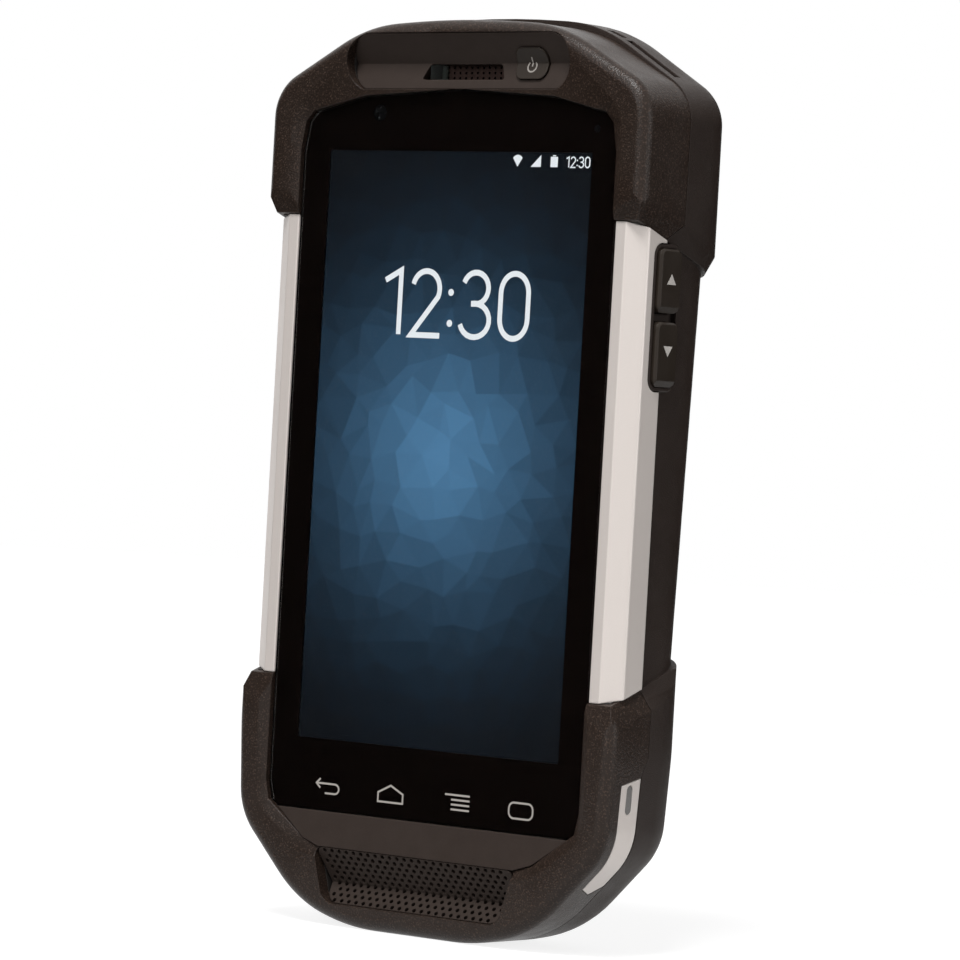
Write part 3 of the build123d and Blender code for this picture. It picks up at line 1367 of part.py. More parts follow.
NODES = {
    "front_housing": front_housing,
    "upper_bumper": upper_bumper,
    "lower_bumper": lower_bumper,
    "side_rail_right": lambda: side_rail(1),
    "side_rail_left": lambda: side_rail(-1),
    "lower_trim_right": lambda: lower_trim(1),
    "lower_trim_left": lambda: lower_trim(-1),
    "trim_slot_inserts": trim_slot_inserts,
    "cover_glass": cover_glass,
    "touch_panel": touch_panel,
    "display_gasket": display_gasket,
    "display_module": display_module,
    "display_flex": display_flex,
    "mid_frame": mid_frame,
    "lower_bezel": lower_bezel,
    "earpiece_bezel": earpiece_bezel,
    "earpiece_mesh": earpiece_mesh,
    "earpiece_receiver": earpiece_receiver,
    "status_light_pipe": status_light_pipe,
    "power_button": power_button,
    "power_switch": power_switch,
    "front_camera": front_camera,
    "light_sensor": light_sensor,
    "speaker_grille": speaker_grille,
    "loudspeaker": loudspeaker,
    "volume_up_key": lambda: key_cap(1, *key_spans(1)[0]),
    "volume_down_key": lambda: key_cap(1, *key_spans(1)[1]),
    "volume_switches": lambda: key_switches(1),
    "scan_key": lambda: key_cap(-1, *key_spans(-1)[0]),
    "talk_key": lambda: key_cap(-1, *key_spans(-1)[1]),
    "trigger_switches": lambda: key_switches(-1),
    "housing_seal": housing_seal,
    "rear_housing": rear_housing,
    "housing_screws": housing_screws,
    "battery_case": battery_case,
    "battery_end_cap": battery_end_cap,
    "battery_lid": battery_lid,
    "battery_pads": battery_pads,
    "battery_cell": battery_cell,
    "battery_contacts": battery_contacts,
    "battery_lock": battery_lock,
    "main_board": main_board,
    "board_shields": board_shields,
    "scan_engine": scan_engine,
    "scan_window": scan_window,
    "rear_camera": rear_camera,
    "camera_flash": camera_flash,
    "camera_window": camera_window,
    "dock_contacts": dock_contacts,
    "microphone": microphone,
    "vibration_motor": vibration_motor,
    "antennas": antennas,
}


def main():
    os.makedirs("parts", exist_ok=True)
    for name, make in NODES.items():
        export_step(make(), f"parts/{name}.step")


main()
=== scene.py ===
"""Looks of a rugged hand-held data terminal, built around its frame. All lengths are metres."""

import bmesh
import bpy
import json
import math
import random

from bpy.props import FloatProperty, FloatVectorProperty, IntProperty, PointerProperty
from mathutils import Matrix, Vector, geometry
from mathutils.bvhtree import BVHTree

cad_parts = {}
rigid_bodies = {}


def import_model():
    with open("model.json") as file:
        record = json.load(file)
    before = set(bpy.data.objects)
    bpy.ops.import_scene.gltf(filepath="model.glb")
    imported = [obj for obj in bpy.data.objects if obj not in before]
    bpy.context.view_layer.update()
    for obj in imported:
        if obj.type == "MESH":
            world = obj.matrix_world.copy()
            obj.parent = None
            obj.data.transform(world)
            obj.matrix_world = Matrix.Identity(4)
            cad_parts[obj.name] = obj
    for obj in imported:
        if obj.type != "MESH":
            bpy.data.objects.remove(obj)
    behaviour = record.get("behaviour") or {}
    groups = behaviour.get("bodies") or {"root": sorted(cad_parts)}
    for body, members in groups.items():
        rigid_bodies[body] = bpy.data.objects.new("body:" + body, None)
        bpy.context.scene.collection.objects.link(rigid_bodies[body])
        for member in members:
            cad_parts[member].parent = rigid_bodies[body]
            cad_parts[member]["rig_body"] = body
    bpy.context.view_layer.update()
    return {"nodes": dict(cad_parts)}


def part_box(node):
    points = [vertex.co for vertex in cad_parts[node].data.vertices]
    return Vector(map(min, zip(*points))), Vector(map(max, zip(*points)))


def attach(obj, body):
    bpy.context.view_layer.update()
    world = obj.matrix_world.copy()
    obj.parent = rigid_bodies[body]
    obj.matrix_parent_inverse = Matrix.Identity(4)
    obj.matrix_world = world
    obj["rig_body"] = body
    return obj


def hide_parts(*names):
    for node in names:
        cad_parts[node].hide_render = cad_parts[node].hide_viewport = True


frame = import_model()

bl_info = {
    "name": "Hand-held Data Terminal",
    "version": (1, 0, 0),
    "blender": (4, 5, 0),
    "location": "View3D > Sidebar > Terminal",
    "description": "Finishes, screen, signs and speaker grille of a rugged data terminal",
    "category": "Object",
}

MM = 0.001
GLASS_LOW, GLASS_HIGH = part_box("cover_glass")
FILM_LOW, FILM_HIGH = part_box("touch_panel")
DISPLAY_LOW, DISPLAY_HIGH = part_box("display_module")
INK_DEPTH = 0.06 * MM  # how far inside the glass its border print lies
GLOW_REACH = 34 * MM
GLOW_FALL = 2.25  # how far the screen's glow has fallen at its reach
GLOW_BEND = 1.54


def srgb(red, green, blue):
    """Scene colour of three screen values from 0 to 255."""
    shares = [value / 255 for value in (red, green, blue)]
    return tuple(s / 12.92 if s <= 0.04045 else ((s + 0.055) / 1.055) ** 2.4 for s in shares)


# Sizes and colours that a user would change


def length_setting(name, description, default):
    return FloatProperty(name=name, description=description, default=default, unit="LENGTH", precision=5)


def colour_setting(name, description, default):
    return FloatVectorProperty(
        name=name, description=description, default=default, subtype="COLOR", min=0, max=1
    )


class TerminalSizes(bpy.types.PropertyGroup):
    """Sizes of the looks; the frame gives all the rest."""

    edge: length_setting("Edge radius", "Rounding that moulded edges show", 0.3 * MM)
    grain: length_setting("Bumper grain", "Size of the pebbles on the bumpers", 0.32 * MM)
    screen_width: length_setting("Screen width", "Lit width behind the glass", 58.5 * MM)
    screen_height: length_setting("Screen height", "Lit height behind the glass", 104.0 * MM)
    facet: length_setting("Facet size", "Mean side of the facets on the screen", 5.2 * MM)
    clock_height: length_setting("Clock height", "Height of the clock's digits", 11.2 * MM)
    clock_stroke: length_setting("Clock stroke", "Width of the clock's strokes", 1.0 * MM)
    sign_stroke: length_setting("Sign stroke", "Width of the touch signs' lines", 0.33 * MM)
    hole_pitch: length_setting("Hole pitch", "Distance between grille holes in a row", 1.65 * MM)
    hole_row: length_setting("Hole rows", "Distance between rows of grille holes", 0.95 * MM)
    hole_radius: length_setting("Hole radius", "Radius of a grille hole", 0.42 * MM)
    hole_sides: IntProperty(name="Hole sides", description="Sides of a grille hole", default=8, min=5)


class TerminalColours(bpy.types.PropertyGroup):
    """Colours of the finishes."""

    bumper: colour_setting("Bumper", "Grained rubbery ends", srgb(42, 33, 28))
    housing: colour_setting("Housing", "Back and side shell", srgb(46, 38, 34))
    bezel: colour_setting("Bezel", "Smooth strips around the glass", srgb(57, 49, 45))
    rail: colour_setting("Rail", "Painted side rails", srgb(224, 215, 209))
    key: colour_setting("Key", "Side keys", srgb(44, 37, 31))
    night: colour_setting("Screen edge", "Screen colour at its edge", srgb(12, 13, 15))
    glow: colour_setting("Screen glow", "Screen colour at its middle", srgb(80, 127, 166))
    sign: colour_setting("Sign", "Touch signs below the screen", srgb(172, 166, 160))
    light: colour_setting("Digits", "Clock digits", srgb(240, 246, 250))
    floor: colour_setting("Floor", "Floor and backdrop", (0.3, 0.3, 0.3))


def sizes():
    return bpy.context.scene.terminal_sizes


def colours():
    return bpy.context.scene.terminal_colours


# Shader building


def add(tree, kind, inputs=None, **settings):
    """New node with its settings, and inputs given as values or as sockets to link."""
    made = tree.nodes.new(kind)
    for name, value in settings.items():
        setattr(made, name, value)
    for name, value in (inputs or {}).items():
        if isinstance(value, bpy.types.NodeSocket):
            tree.links.new(value, made.inputs[name])
        else:
            made.inputs[name].default_value = value
    return made


def math_node(tree, operation, first, second=0.0, clamp=False):
    made = add(tree, "ShaderNodeMath", {0: first, 1: second}, operation=operation, use_clamp=clamp)
    return made.outputs[0]


def spread(tree, value, low, high, to_low=0.0, to_high=1.0):
    """Value carried from one span to another, held at its ends."""
    inputs = {"Value": value, "From Min": low, "From Max": high, "To Min": to_low, "To Max": to_high}
    return add(tree, "ShaderNodeMapRange", inputs).outputs["Result"]


def blend_colours(tree, factor, first, second):
    made = tree.nodes.new("ShaderNodeMix")
    made.data_type = "RGBA"
    for socket, value in ((made.inputs[0], factor), (made.inputs[6], first), (made.inputs[7], second)):
        if isinstance(value, bpy.types.NodeSocket):
            tree.links.new(value, socket)
        else:
            socket.default_value = value
    return made.outputs[2]


def shader_group(name, inputs, outputs):
    """Empty group tree with float inputs and their defaults, and named outputs."""
    tree = bpy.data.node_groups.new(name, "ShaderNodeTree")
    for label, default in inputs.items():
        socket = tree.interface.new_socket(label, in_out="INPUT", socket_type="NodeSocketFloat")
        socket.default_value = default
    for label, kind in outputs.items():
        tree.interface.new_socket(label, in_out="OUTPUT", socket_type=kind)
    return tree, tree.nodes.new("NodeGroupInput").outputs, tree.nodes.new("NodeGroupOutput").inputs


def object_place(tree):
    return add(tree, "ShaderNodeTexCoord").outputs["Object"]


def grain_group():
    """Moulded skin: pebble height, a slow change of tone, and a mask of the pebble crests where glints are
    painted.
    """
    floats = {"Height": "NodeSocketFloat", "Tone": "NodeSocketFloat", "Crest": "NodeSocketFloat"}
    tree, given, result = shader_group("Moulded Grain", {"Size": 0.4 * MM}, floats)
    place = object_place(tree)
    scale = math_node(tree, "DIVIDE", 1.0, given["Size"])
    fine = add(tree, "ShaderNodeTexNoise", {"Vector": place, "Scale": scale, "Detail": 1.0})
    pebble = add(tree, "ShaderNodeTexVoronoi", {"Vector": place, "Scale": scale})
    hollow = math_node(tree, "MULTIPLY", pebble.outputs["Distance"], 0.5)
    height = math_node(tree, "SUBTRACT", fine.outputs[0], hollow)
    slow = math_node(tree, "MULTIPLY", scale, 0.04)
    cloud = add(tree, "ShaderNodeTexNoise", {"Vector": place, "Scale": slow, "Detail": 3.0})
    speck = spread(tree, fine.outputs[0], 0.35, 0.7)
    tree.links.new(height, result["Height"])
    tree.links.new(spread(tree, height, 0.3, 0.55), result["Crest"])
    slow_part = math_node(tree, "MULTIPLY", cloud.outputs[0], 0.6)
    fine_part = math_node(tree, "MULTIPLY", speck, 0.4)
    tree.links.new(math_node(tree, "ADD", slow_part, fine_part), result["Tone"])
    return tree


def edge_group():
    """Rounded normal near edges, and a mask that is 1 on them."""
    kinds = {"Normal": "NodeSocketVector", "Mask": "NodeSocketFloat"}
    tree, given, result = shader_group("Rounded Edge", {"Radius": 0.3 * MM}, kinds)
    bevel = add(tree, "ShaderNodeBevel", {"Radius": given["Radius"]}, samples=4)
    flat = add(tree, "ShaderNodeNewGeometry").outputs["Normal"]
    facing = add(tree, "ShaderNodeVectorMath", {0: bevel.outputs[0], 1: flat}, operation="DOT_PRODUCT")
    tree.links.new(bevel.outputs[0], result["Normal"])
    tree.links.new(spread(tree, facing.outputs["Value"], 0.995, 0.9), result["Mask"])
    return tree


def dust_group():
    """Faint cloudy film that handling leaves."""
    tree, given, result = shader_group("Handling Film", {"Size": 9 * MM}, {"Mask": "NodeSocketFloat"})
    scale = math_node(tree, "DIVIDE", 1.0, given["Size"])
    inputs = {"Vector": object_place(tree), "Scale": scale, "Detail": 6.0, "Roughness": 0.65}
    cloud = add(tree, "ShaderNodeTexNoise", inputs)
    tree.links.new(spread(tree, cloud.outputs[0], 0.4, 0.7), result["Mask"])
    return tree


GROUP_MAKERS = {"Moulded Grain": grain_group, "Rounded Edge": edge_group, "Handling Film": dust_group}


def use_group(tree, name, **inputs):
    """The shared group of that name, placed in a material."""
    group = bpy.data.node_groups.get(name) or GROUP_MAKERS[name]()
    return add(tree, "ShaderNodeGroup", inputs, node_tree=group).outputs


def new_material(name, **constants):
    """Material with a Principled shader whose plain inputs are set on its own sockets."""
    material = bpy.data.materials.new(name)
    material.use_nodes = True
    shader = material.node_tree.nodes["Principled BSDF"]
    for label, value in constants.items():
        shader.inputs[label.replace("_", " ")].default_value = value
    return material, material.node_tree, shader.inputs


def shade(colour, factor):
    return tuple(min(1.0, part * factor) for part in colour) + (1.0,)


def moulded(name, colour, grain, depth, roughness, edge, wear=0.25, crest=0.0, **constants):
    """Moulded plastic or rubber: pebbled grain, rounded lighter edges, painted glints on the pebble crests
    and a handling film.
    """
    material, tree, shader = new_material(name, **constants)
    skin = use_group(tree, "Moulded Grain", Size=grain)
    rim = use_group(tree, "Rounded Edge", Radius=edge)
    film = use_group(tree, "Handling Film")
    base = blend_colours(tree, skin["Tone"], shade(colour, 0.8), shade(colour, 1.25))
    # Painted highlight: the pebble crests are painted much lighter, standing in for the lamps' glints.
    if crest:
        painted_glint = math_node(tree, "MULTIPLY", skin["Crest"], crest)
        base = blend_colours(tree, painted_glint, base, shade(colour, 5.0))
    lighter_edge = math_node(tree, "MULTIPLY", rim["Mask"], wear)
    tree.links.new(blend_colours(tree, lighter_edge, base, shade(colour, 2.2)), shader["Base Color"])
    rough = spread(tree, film["Mask"], 0.0, 1.0, roughness - 0.05, roughness + 0.08)
    tree.links.new(rough, shader["Roughness"])
    inputs = {"Height": skin["Height"], "Distance": depth, "Normal": rim["Normal"]}
    tree.links.new(add(tree, "ShaderNodeBump", inputs).outputs[0], shader["Normal"])
    return material


def painted(name, colour, edge, metallic=0.2, roughness=0.36):
    """Satin silver paint with fine flake, and a painted highlight along its rounded rims."""
    material, tree, shader = new_material(name, Metallic=metallic, Coat_Weight=0.15, Coat_Roughness=0.2)
    rim = use_group(tree, "Rounded Edge", Radius=edge)
    film = use_group(tree, "Handling Film", Size=14 * MM)
    flake = add(tree, "ShaderNodeTexNoise", {"Vector": object_place(tree), "Scale": 9000.0, "Detail": 1.0})
    base = blend_colours(tree, flake.outputs[0], shade(colour, 0.94), shade(colour, 1.05))
    base = blend_colours(tree, math_node(tree, "MULTIPLY", film["Mask"], 0.12), base, shade(colour, 0.85))
    # Painted highlight: the rounded rims are painted lighter, standing in for the light they catch.
    lighter_edge = math_node(tree, "MULTIPLY", rim["Mask"], 0.4)
    tree.links.new(blend_colours(tree, lighter_edge, base, shade(colour, 1.4)), shader["Base Color"])
    rough = spread(tree, film["Mask"], 0.0, 1.0, roughness, roughness + 0.07)
    tree.links.new(rough, shader["Roughness"])
    inputs = {"Height": flake.outputs[0], "Distance": 0.004 * MM, "Normal": rim["Normal"]}
    tree.links.new(add(tree, "ShaderNodeBump", inputs).outputs[0], shader["Normal"])
    return material


def metal(name, colour, roughness, brush=(1.0, 1.0, 1.0)):
    """Bare metal with drawn or milled lines."""
    material, tree, shader = new_material(name, Metallic=1.0)
    place = add(tree, "ShaderNodeMapping", {"Vector": object_place(tree), "Scale": brush})
    lines = add(tree, "ShaderNodeTexNoise", {"Vector": place.outputs[0], "Scale": 2500.0, "Detail": 3.0})
    base = blend_colours(tree, lines.outputs[0], shade(colour, 0.85), shade(colour, 1.1))
    tree.links.new(base, shader["Base Color"])
    rough = spread(tree, lines.outputs[0], 0.3, 0.7, roughness - 0.06, roughness + 0.08)
    tree.links.new(rough, shader["Roughness"])
    return material


def lit(name, colour, strength=1.0):
    """Screen pixels that glow at their own colour, and print that glows at its colour as painted light in
    place of the lamp light on it, a little uneven.
    """
    material, tree, shader = new_material(
        name, Emission_Strength=strength, Roughness=0.6, Specular_IOR_Level=0.0
    )
    shader["Base Color"].default_value = (0.01, 0.01, 0.01, 1.0)
    cloud = add(tree, "ShaderNodeTexNoise", {"Vector": object_place(tree), "Scale": 700.0})
    tree.links.new(
        blend_colours(tree, cloud.outputs[0], shade(colour, 0.94), shade(colour, 1.03)),
        shader["Emission Color"],
    )
    return material


def clear(name, tint, roughness, **constants):
    """Clear glass or plastic with a trace of uneven polish."""
    material, tree, shader = new_material(name, Transmission_Weight=1.0, **constants)
    shader["Base Color"].default_value = shade(tint, 1.0)
    film = use_group(tree, "Handling Film", Size=22 * MM)
    rough = spread(tree, film["Mask"], 0.0, 1.0, roughness, roughness + 0.02)
    tree.links.new(rough, shader["Roughness"])
    return material


def picture_material():
    """Screen picture: each facet's own colour, lit from behind."""
    material, tree, shader = new_material(
        "screen picture", Emission_Strength=1.0, Roughness=0.6, Specular_IOR_Level=0.0
    )
    shader["Base Color"].default_value = (0.005, 0.005, 0.005, 1.0)
    facet = add(tree, "ShaderNodeAttribute", attribute_name="facet_colour").outputs["Color"]
    tree.links.new(facet, shader["Emission Color"])
    return material


def make_finishes():
    """One finish for each material slot of the record, by the slot's name."""
    paint, size = colours(), sizes()
    edge, grain = size.edge, size.grain
    dark, grey = srgb(30, 27, 25), srgb(120, 118, 116)
    return {
        # The bumper gets painted glints on its pebble crests.
        "bumper": moulded(
            "bumper rubber", paint.bumper, grain, 0.06 * MM, 0.36, edge, crest=0.45, Specular_IOR_Level=0.2
        ),
        "housing": moulded(
            "housing plastic", paint.housing, 0.6 * grain, 0.05 * MM, 0.45, edge, Specular_IOR_Level=0.16
        ),
        "inner_frame": moulded("inner frame plastic", dark, 0.5 * grain, 0.03 * MM, 0.55, edge),
        "rail": painted("rail paint", paint.rail, edge),
        "trim": painted("trim paint", paint.rail, edge),
        "trim_slot": moulded("trim slot plastic", grey, grain, 0.01 * MM, 0.4, 0.1 * MM),
        "cover_glass": clear("cover glass", (1.0, 1.0, 1.0), 0.0, IOR=1.35),
        "window_glass": clear("smoked window", srgb(120, 30, 26), 0.03, IOR=1.45),
        "film": moulded(
            "touch film",
            srgb(30, 32, 36),
            grain,
            0.001 * MM,
            0.3,
            0.05 * MM,
            Alpha=0.03,
            Specular_IOR_Level=0.0,
        ),
        "display": metal("display tray", srgb(140, 142, 145), 0.4),
        "gasket": moulded("gasket foam", srgb(24, 22, 22), grain, 0.04 * MM, 0.8, 0.1 * MM),
        "flex": moulded("flex film", srgb(150, 92, 34), grain, 0.004 * MM, 0.35, 0.05 * MM),
        "metal_frame": metal("pressed frame", srgb(150, 150, 148), 0.35, (1.0, 1.0, 0.1)),
        "bezel": moulded(
            "bezel plastic", paint.bezel, 0.4 * grain, 0.012 * MM, 0.42, edge, Specular_IOR_Level=0.06
        ),
        "mesh": metal("earpiece mesh", srgb(70, 56, 52), 0.5),
        "light_pipe": clear("light pipe", srgb(96, 104, 100), 0.35, IOR=1.4),
        "button": moulded(
            "button plastic", paint.key, 0.4 * grain, 0.01 * MM, 0.36, edge, Specular_IOR_Level=0.2
        ),
        "key": moulded("key plastic", paint.key, 0.4 * grain, 0.012 * MM, 0.38, edge, Specular_IOR_Level=0.2),
        "switch": moulded("switch film", srgb(190, 190, 184), grain, 0.01 * MM, 0.4, 0.1 * MM),
        "component": moulded("component case", srgb(34, 33, 34), grain, 0.02 * MM, 0.5, 0.15 * MM),
        "lens": moulded("lens barrel", srgb(18, 18, 20), 0.3 * grain, 0.005 * MM, 0.25, 0.1 * MM),
        "seal": moulded("seal rubber", srgb(140, 52, 40), grain, 0.01 * MM, 0.6, 0.1 * MM),
        "screw": metal("screw steel", srgb(90, 88, 86), 0.3),
        "battery": moulded("battery case plastic", paint.housing, 0.8 * grain, 0.06 * MM, 0.52, edge),
        "cell": painted("cell foil", srgb(176, 178, 182), 0.2 * MM, 0.8, 0.3),
        "contact": metal("gold contacts", srgb(226, 178, 98), 0.25, (1.0, 1.0, 0.2)),
        "lock": moulded("lock plastic", srgb(150, 56, 34), 0.5 * grain, 0.02 * MM, 0.42, 0.2 * MM),
        "board": moulded("board lacquer", srgb(24, 74, 46), grain, 0.02 * MM, 0.35, 0.1 * MM),
        "shield": metal("shield cans", srgb(190, 190, 188), 0.28, (0.2, 1.0, 1.0)),
        "antenna": metal("antenna foil", srgb(200, 150, 96), 0.3),
    }


def finish_of(slot):
    """The finish that the first operator made for a slot."""
    return bpy.data.materials[bpy.context.scene["terminal_finishes"][slot]]


# Mesh building


def put(name, body, slot, verts, faces, material=None, replaces=()):
    """New piece from points and faces, riding on a body."""
    mesh = bpy.data.meshes.new(name)
    mesh.from_pydata([tuple(v) for v in verts], [], faces)
    mesh.update()
    return settle(bpy.data.objects.new(name, mesh), body, slot, material, replaces)


def settle(piece, body, slot, material=None, replaces=()):
    """Links a piece, gives it its finish, and says what it rides on and stands for."""
    if piece.name not in bpy.context.scene.collection.objects:
        bpy.context.scene.collection.objects.link(piece)
    piece.data.materials.clear()
    piece.data.materials.append(material or finish_of(slot))
    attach(piece, body)
    if replaces:
        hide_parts(*replaces)
    return piece


def body_of(node):
    return frame["nodes"][node]["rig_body"]


def slot_of(node):
    return frame["nodes"][node]["terminal_slot"]


def merged_mesh(node):
    """A node's triangles as one connected mesh, without its stored normals."""
    source = frame["nodes"][node].data
    work = bmesh.new()
    places = [work.verts.new(v.co) for v in source.vertices]
    for face in source.polygons:
        work.faces.new([places[i] for i in face.vertices])
    bmesh.ops.remove_doubles(work, verts=work.verts, dist=0.002 * MM)
    mesh = bpy.data.meshes.new(node)
    work.to_mesh(mesh)
    work.free()
    return mesh


def baked(piece):
    """Applies a piece's modifiers into a plain mesh."""
    bpy.context.scene.collection.objects.link(piece)
    bpy.context.view_layer.update()
    graph = bpy.context.evaluated_depsgraph_get()
    result = bpy.data.meshes.new_from_object(piece.evaluated_get(graph))
    piece.modifiers.clear()
    piece.data = result
    return piece


def smoothed(node, name, angle=32):
    """Smooth-shaded copy of a node that stands for it."""
    mesh = merged_mesh(node)
    mesh.shade_smooth()
    mesh.set_sharp_from_angle(angle=math.radians(angle))
    piece = bpy.data.objects.new(name, mesh)
    weighted = piece.modifiers.new("weighted", "WEIGHTED_NORMAL")
    weighted.keep_sharp = True
    return settle(baked(piece), body_of(node), slot_of(node), replaces=[node])


# Flat shapes: points are (across, up), counter-clockwise as the viewer sees them


def arc(middle, radii, start, end, steps=16):
    """Points along part of an ellipse, between two angles in degrees."""
    angles = [math.radians(start + (end - start) * i / steps) for i in range(steps + 1)]
    return [(middle[0] + radii[0] * math.cos(a), middle[1] + radii[1] * math.sin(a)) for a in angles]


def stroke(points, width, closed=False):
    """Flat line of even width along points, mitred at its corners: its points and faces."""
    count = len(points)
    spots = [Vector(point) for point in points]
    verts = []
    for i, spot in enumerate(spots):
        before = spots[i - 1] if i or closed else None
        after = spots[(i + 1) % count] if i < count - 1 or closed else None
        into = (spot - before).normalized() if before is not None else (after - spot).normalized()
        out = (after - spot).normalized() if after is not None else into
        way = (into + out).normalized()
        side = Vector((-way.y, way.x)) * (width / 2 / max(0.4, way.dot(out)))
        verts += [spot + side, spot - side]
    faces = []
    for i in range(count if closed else count - 1):
        a, b = 2 * i, 2 * ((i + 1) % count)
        faces.append((a, a + 1, b + 1, b))
    return verts, faces


def filled(points):
    return list(points), [tuple(range(len(points)))]


def rectangle(low, high):
    return filled([low, (high[0], low[1]), high, (low[0], high[1])])


def gathered(shapes):
    """Several flat shapes as one list of points and faces."""
    verts, faces = [], []
    for points, parts in shapes:
        faces += [tuple(i + len(verts) for i in part) for part in parts]
        verts += list(points)
    return verts, faces


def print_on(name, shapes, place, body, slot, material, thickness=0.02 * MM):
    """Thin print made of flat shapes; place turns (across, up) into a point of the frame."""
    points, faces = gathered(shapes)
    piece = put(name, body, slot, [place(*point) for point in points], faces, material)
    solid = piece.modifiers.new("ink", "SOLIDIFY")
    solid.thickness = thickness
    solid.offset = 1.0
    return piece


def facing_front(depth):
    return lambda across, up: (across, depth, up)


def on_front_of(node):
    """Place function that drops print onto the front surface of a node."""
    mesh = frame["nodes"][node].data
    surface = BVHTree.FromPolygons([v.co for v in mesh.vertices], [tuple(f.vertices) for f in mesh.polygons])

    def place(across, up):
        return surface.ray_cast(Vector((across, -1.0, up)), Vector((0.0, 1.0, 0.0)))[0]

    return place


# Digits, drawn in a box of height 1


def digit_one():
    return [([(0.02, 0.84), (0.33, 1.0), (0.33, 0.0)], False)]


def digit_two():
    bow = arc((0.29, 0.72), (0.27, 0.28), 165, -25)
    return [(bow + [(0.02, 0.0), (0.6, 0.0)], False)]


def digit_three():
    upper = arc((0.28, 0.755), (0.25, 0.245), 160, -90)
    lower = arc((0.28, 0.26), (0.29, 0.26), 90, -165)
    return [(upper[:-1] + [(0.2, 0.515)], False), ([(0.2, 0.515)] + lower, False)]


def digit_zero():
    top = arc((0.29, 0.7), (0.27, 0.3), 0, 180)
    bottom = arc((0.29, 0.3), (0.27, 0.3), 180, 360)
    return [(top + bottom, True)]


# Each part of the clock with its advance to the next; None is the pair of dots
CLOCK_PARTS = ((digit_one, 0.56), (digit_two, 0.74), (None, 0.26), (digit_three, 0.76), (digit_zero, 0.58))


def clock_strokes():
    """Strokes of the clock's digits and dots, from left to right, and its whole width."""
    strokes, dots, across = [], [], 0.0
    for make, advance in CLOCK_PARTS:
        if make is None:
            dots = [(across + 0.05, 0.2), (across + 0.05, 0.68)]
        else:
            for points, closed in make():
                strokes.append(([(x + across, y) for x, y in points], closed))
        across += advance
    return strokes, dots, across


def clock_shapes(right, low, height, width):
    """Clock of a given height and stroke width, with its right end and foot at a place."""
    strokes, dots, total = clock_strokes()
    start = right - total * height
    shapes = []
    for points, closed in strokes:
        placed = [(start + x * height, low + y * height) for x, y in points]
        shapes.append(stroke(placed, width, closed))
    for x, y in dots:
        middle = (start + x * height, low + y * height)
        shapes.append(filled(arc(middle, (0.62 * width, 0.62 * width), 0, 337.5, 15)))
    return shapes


# Operators


class TERMINAL_OT_finishes(bpy.types.Operator):
    """Make the finishes and give each part of the frame its own"""

    bl_idname = "terminal.finishes"
    bl_label = "Finishes"

    def execute(self, context):
        made = make_finishes()
        context.scene["terminal_finishes"] = {slot: material.name for slot, material in made.items()}
        for node in frame["nodes"].values():
            slot = node.data.materials[0].name.split(".")[0]
            node["terminal_slot"] = slot
            node.data.materials[0] = made[slot]
        return {"FINISHED"}


SMOOTH_NODES = (
    "upper_bumper",
    "lower_bumper",
    "front_housing",
    "rear_housing",
    "side_rail_right",
    "side_rail_left",
    "lower_trim_right",
    "lower_trim_left",
    "trim_slot_inserts",
    "lower_bezel",
    "earpiece_bezel",
    "power_button",
    "volume_up_key",
    "volume_down_key",
    "scan_key",
    "talk_key",
    "battery_case",
    "battery_end_cap",
    "battery_lock",
    "housing_screws",
    "camera_window",
    "scan_window",
    "front_camera",
    "rear_camera",
    "camera_flash",
    "dock_contacts",
    "housing_seal",
)


class TERMINAL_OT_shells(bpy.types.Operator):
    """Stand smooth-shaded shells in for the curved parts of the frame"""

    bl_idname = "terminal.shells"
    bl_label = "Shells"

    def execute(self, context):
        for node in SMOOTH_NODES:
            smoothed(node, node + "_shell")
        return {"FINISHED"}


def glass_corners(inset):
    """Corner points of the glass, seen from the front, moved in by an inset."""
    work = bmesh.new()
    work.from_mesh(merged_mesh("cover_glass"))
    bmesh.ops.dissolve_limit(work, angle_limit=0.01, verts=work.verts, edges=work.edges)
    face = min(work.faces, key=lambda f: (round(f.calc_center_median().y, 6), -f.calc_area()))
    corners = [(v.co.x, v.co.z) for v in face.verts]
    work.free()
    middle = (GLASS_LOW + GLASS_HIGH) / 2
    size = GLASS_HIGH - GLASS_LOW
    grow_x, grow_z = 1 - 2 * inset / size.x, 1 - 2 * inset / size.z
    return [(middle.x + (x - middle.x) * grow_x, middle.z + (z - middle.z) * grow_z) for x, z in corners]


def flat_fill(loops):
    """Points and faces of the area between an outer loop and the holes inside it."""
    spots, rings = [], []
    for loop in loops:
        rings.append([len(spots) + i for i in range(len(loop))])
        spots += [Vector(point) for point in loop]
    with_holes = 5
    verts, _, faces, _, _, _ = geometry.delaunay_2d_cdt(spots, [], rings, with_holes, 1e-7)
    return [tuple(v) for v in verts], [tuple(face) for face in faces]


def screen_span():
    """Lowest and highest (across, up) of the lit screen: centred on the display."""
    half_width, half_height = sizes().screen_width / 2, sizes().screen_height / 2
    middle = (DISPLAY_LOW.z + DISPLAY_HIGH.z) / 2
    return (-half_width, middle - half_height), (half_width, middle + half_height)


def middle_of(node):
    """Middle of a part, seen from the front."""
    low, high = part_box(node)
    return (low.x + high.x) / 2, (low.z + high.z) / 2


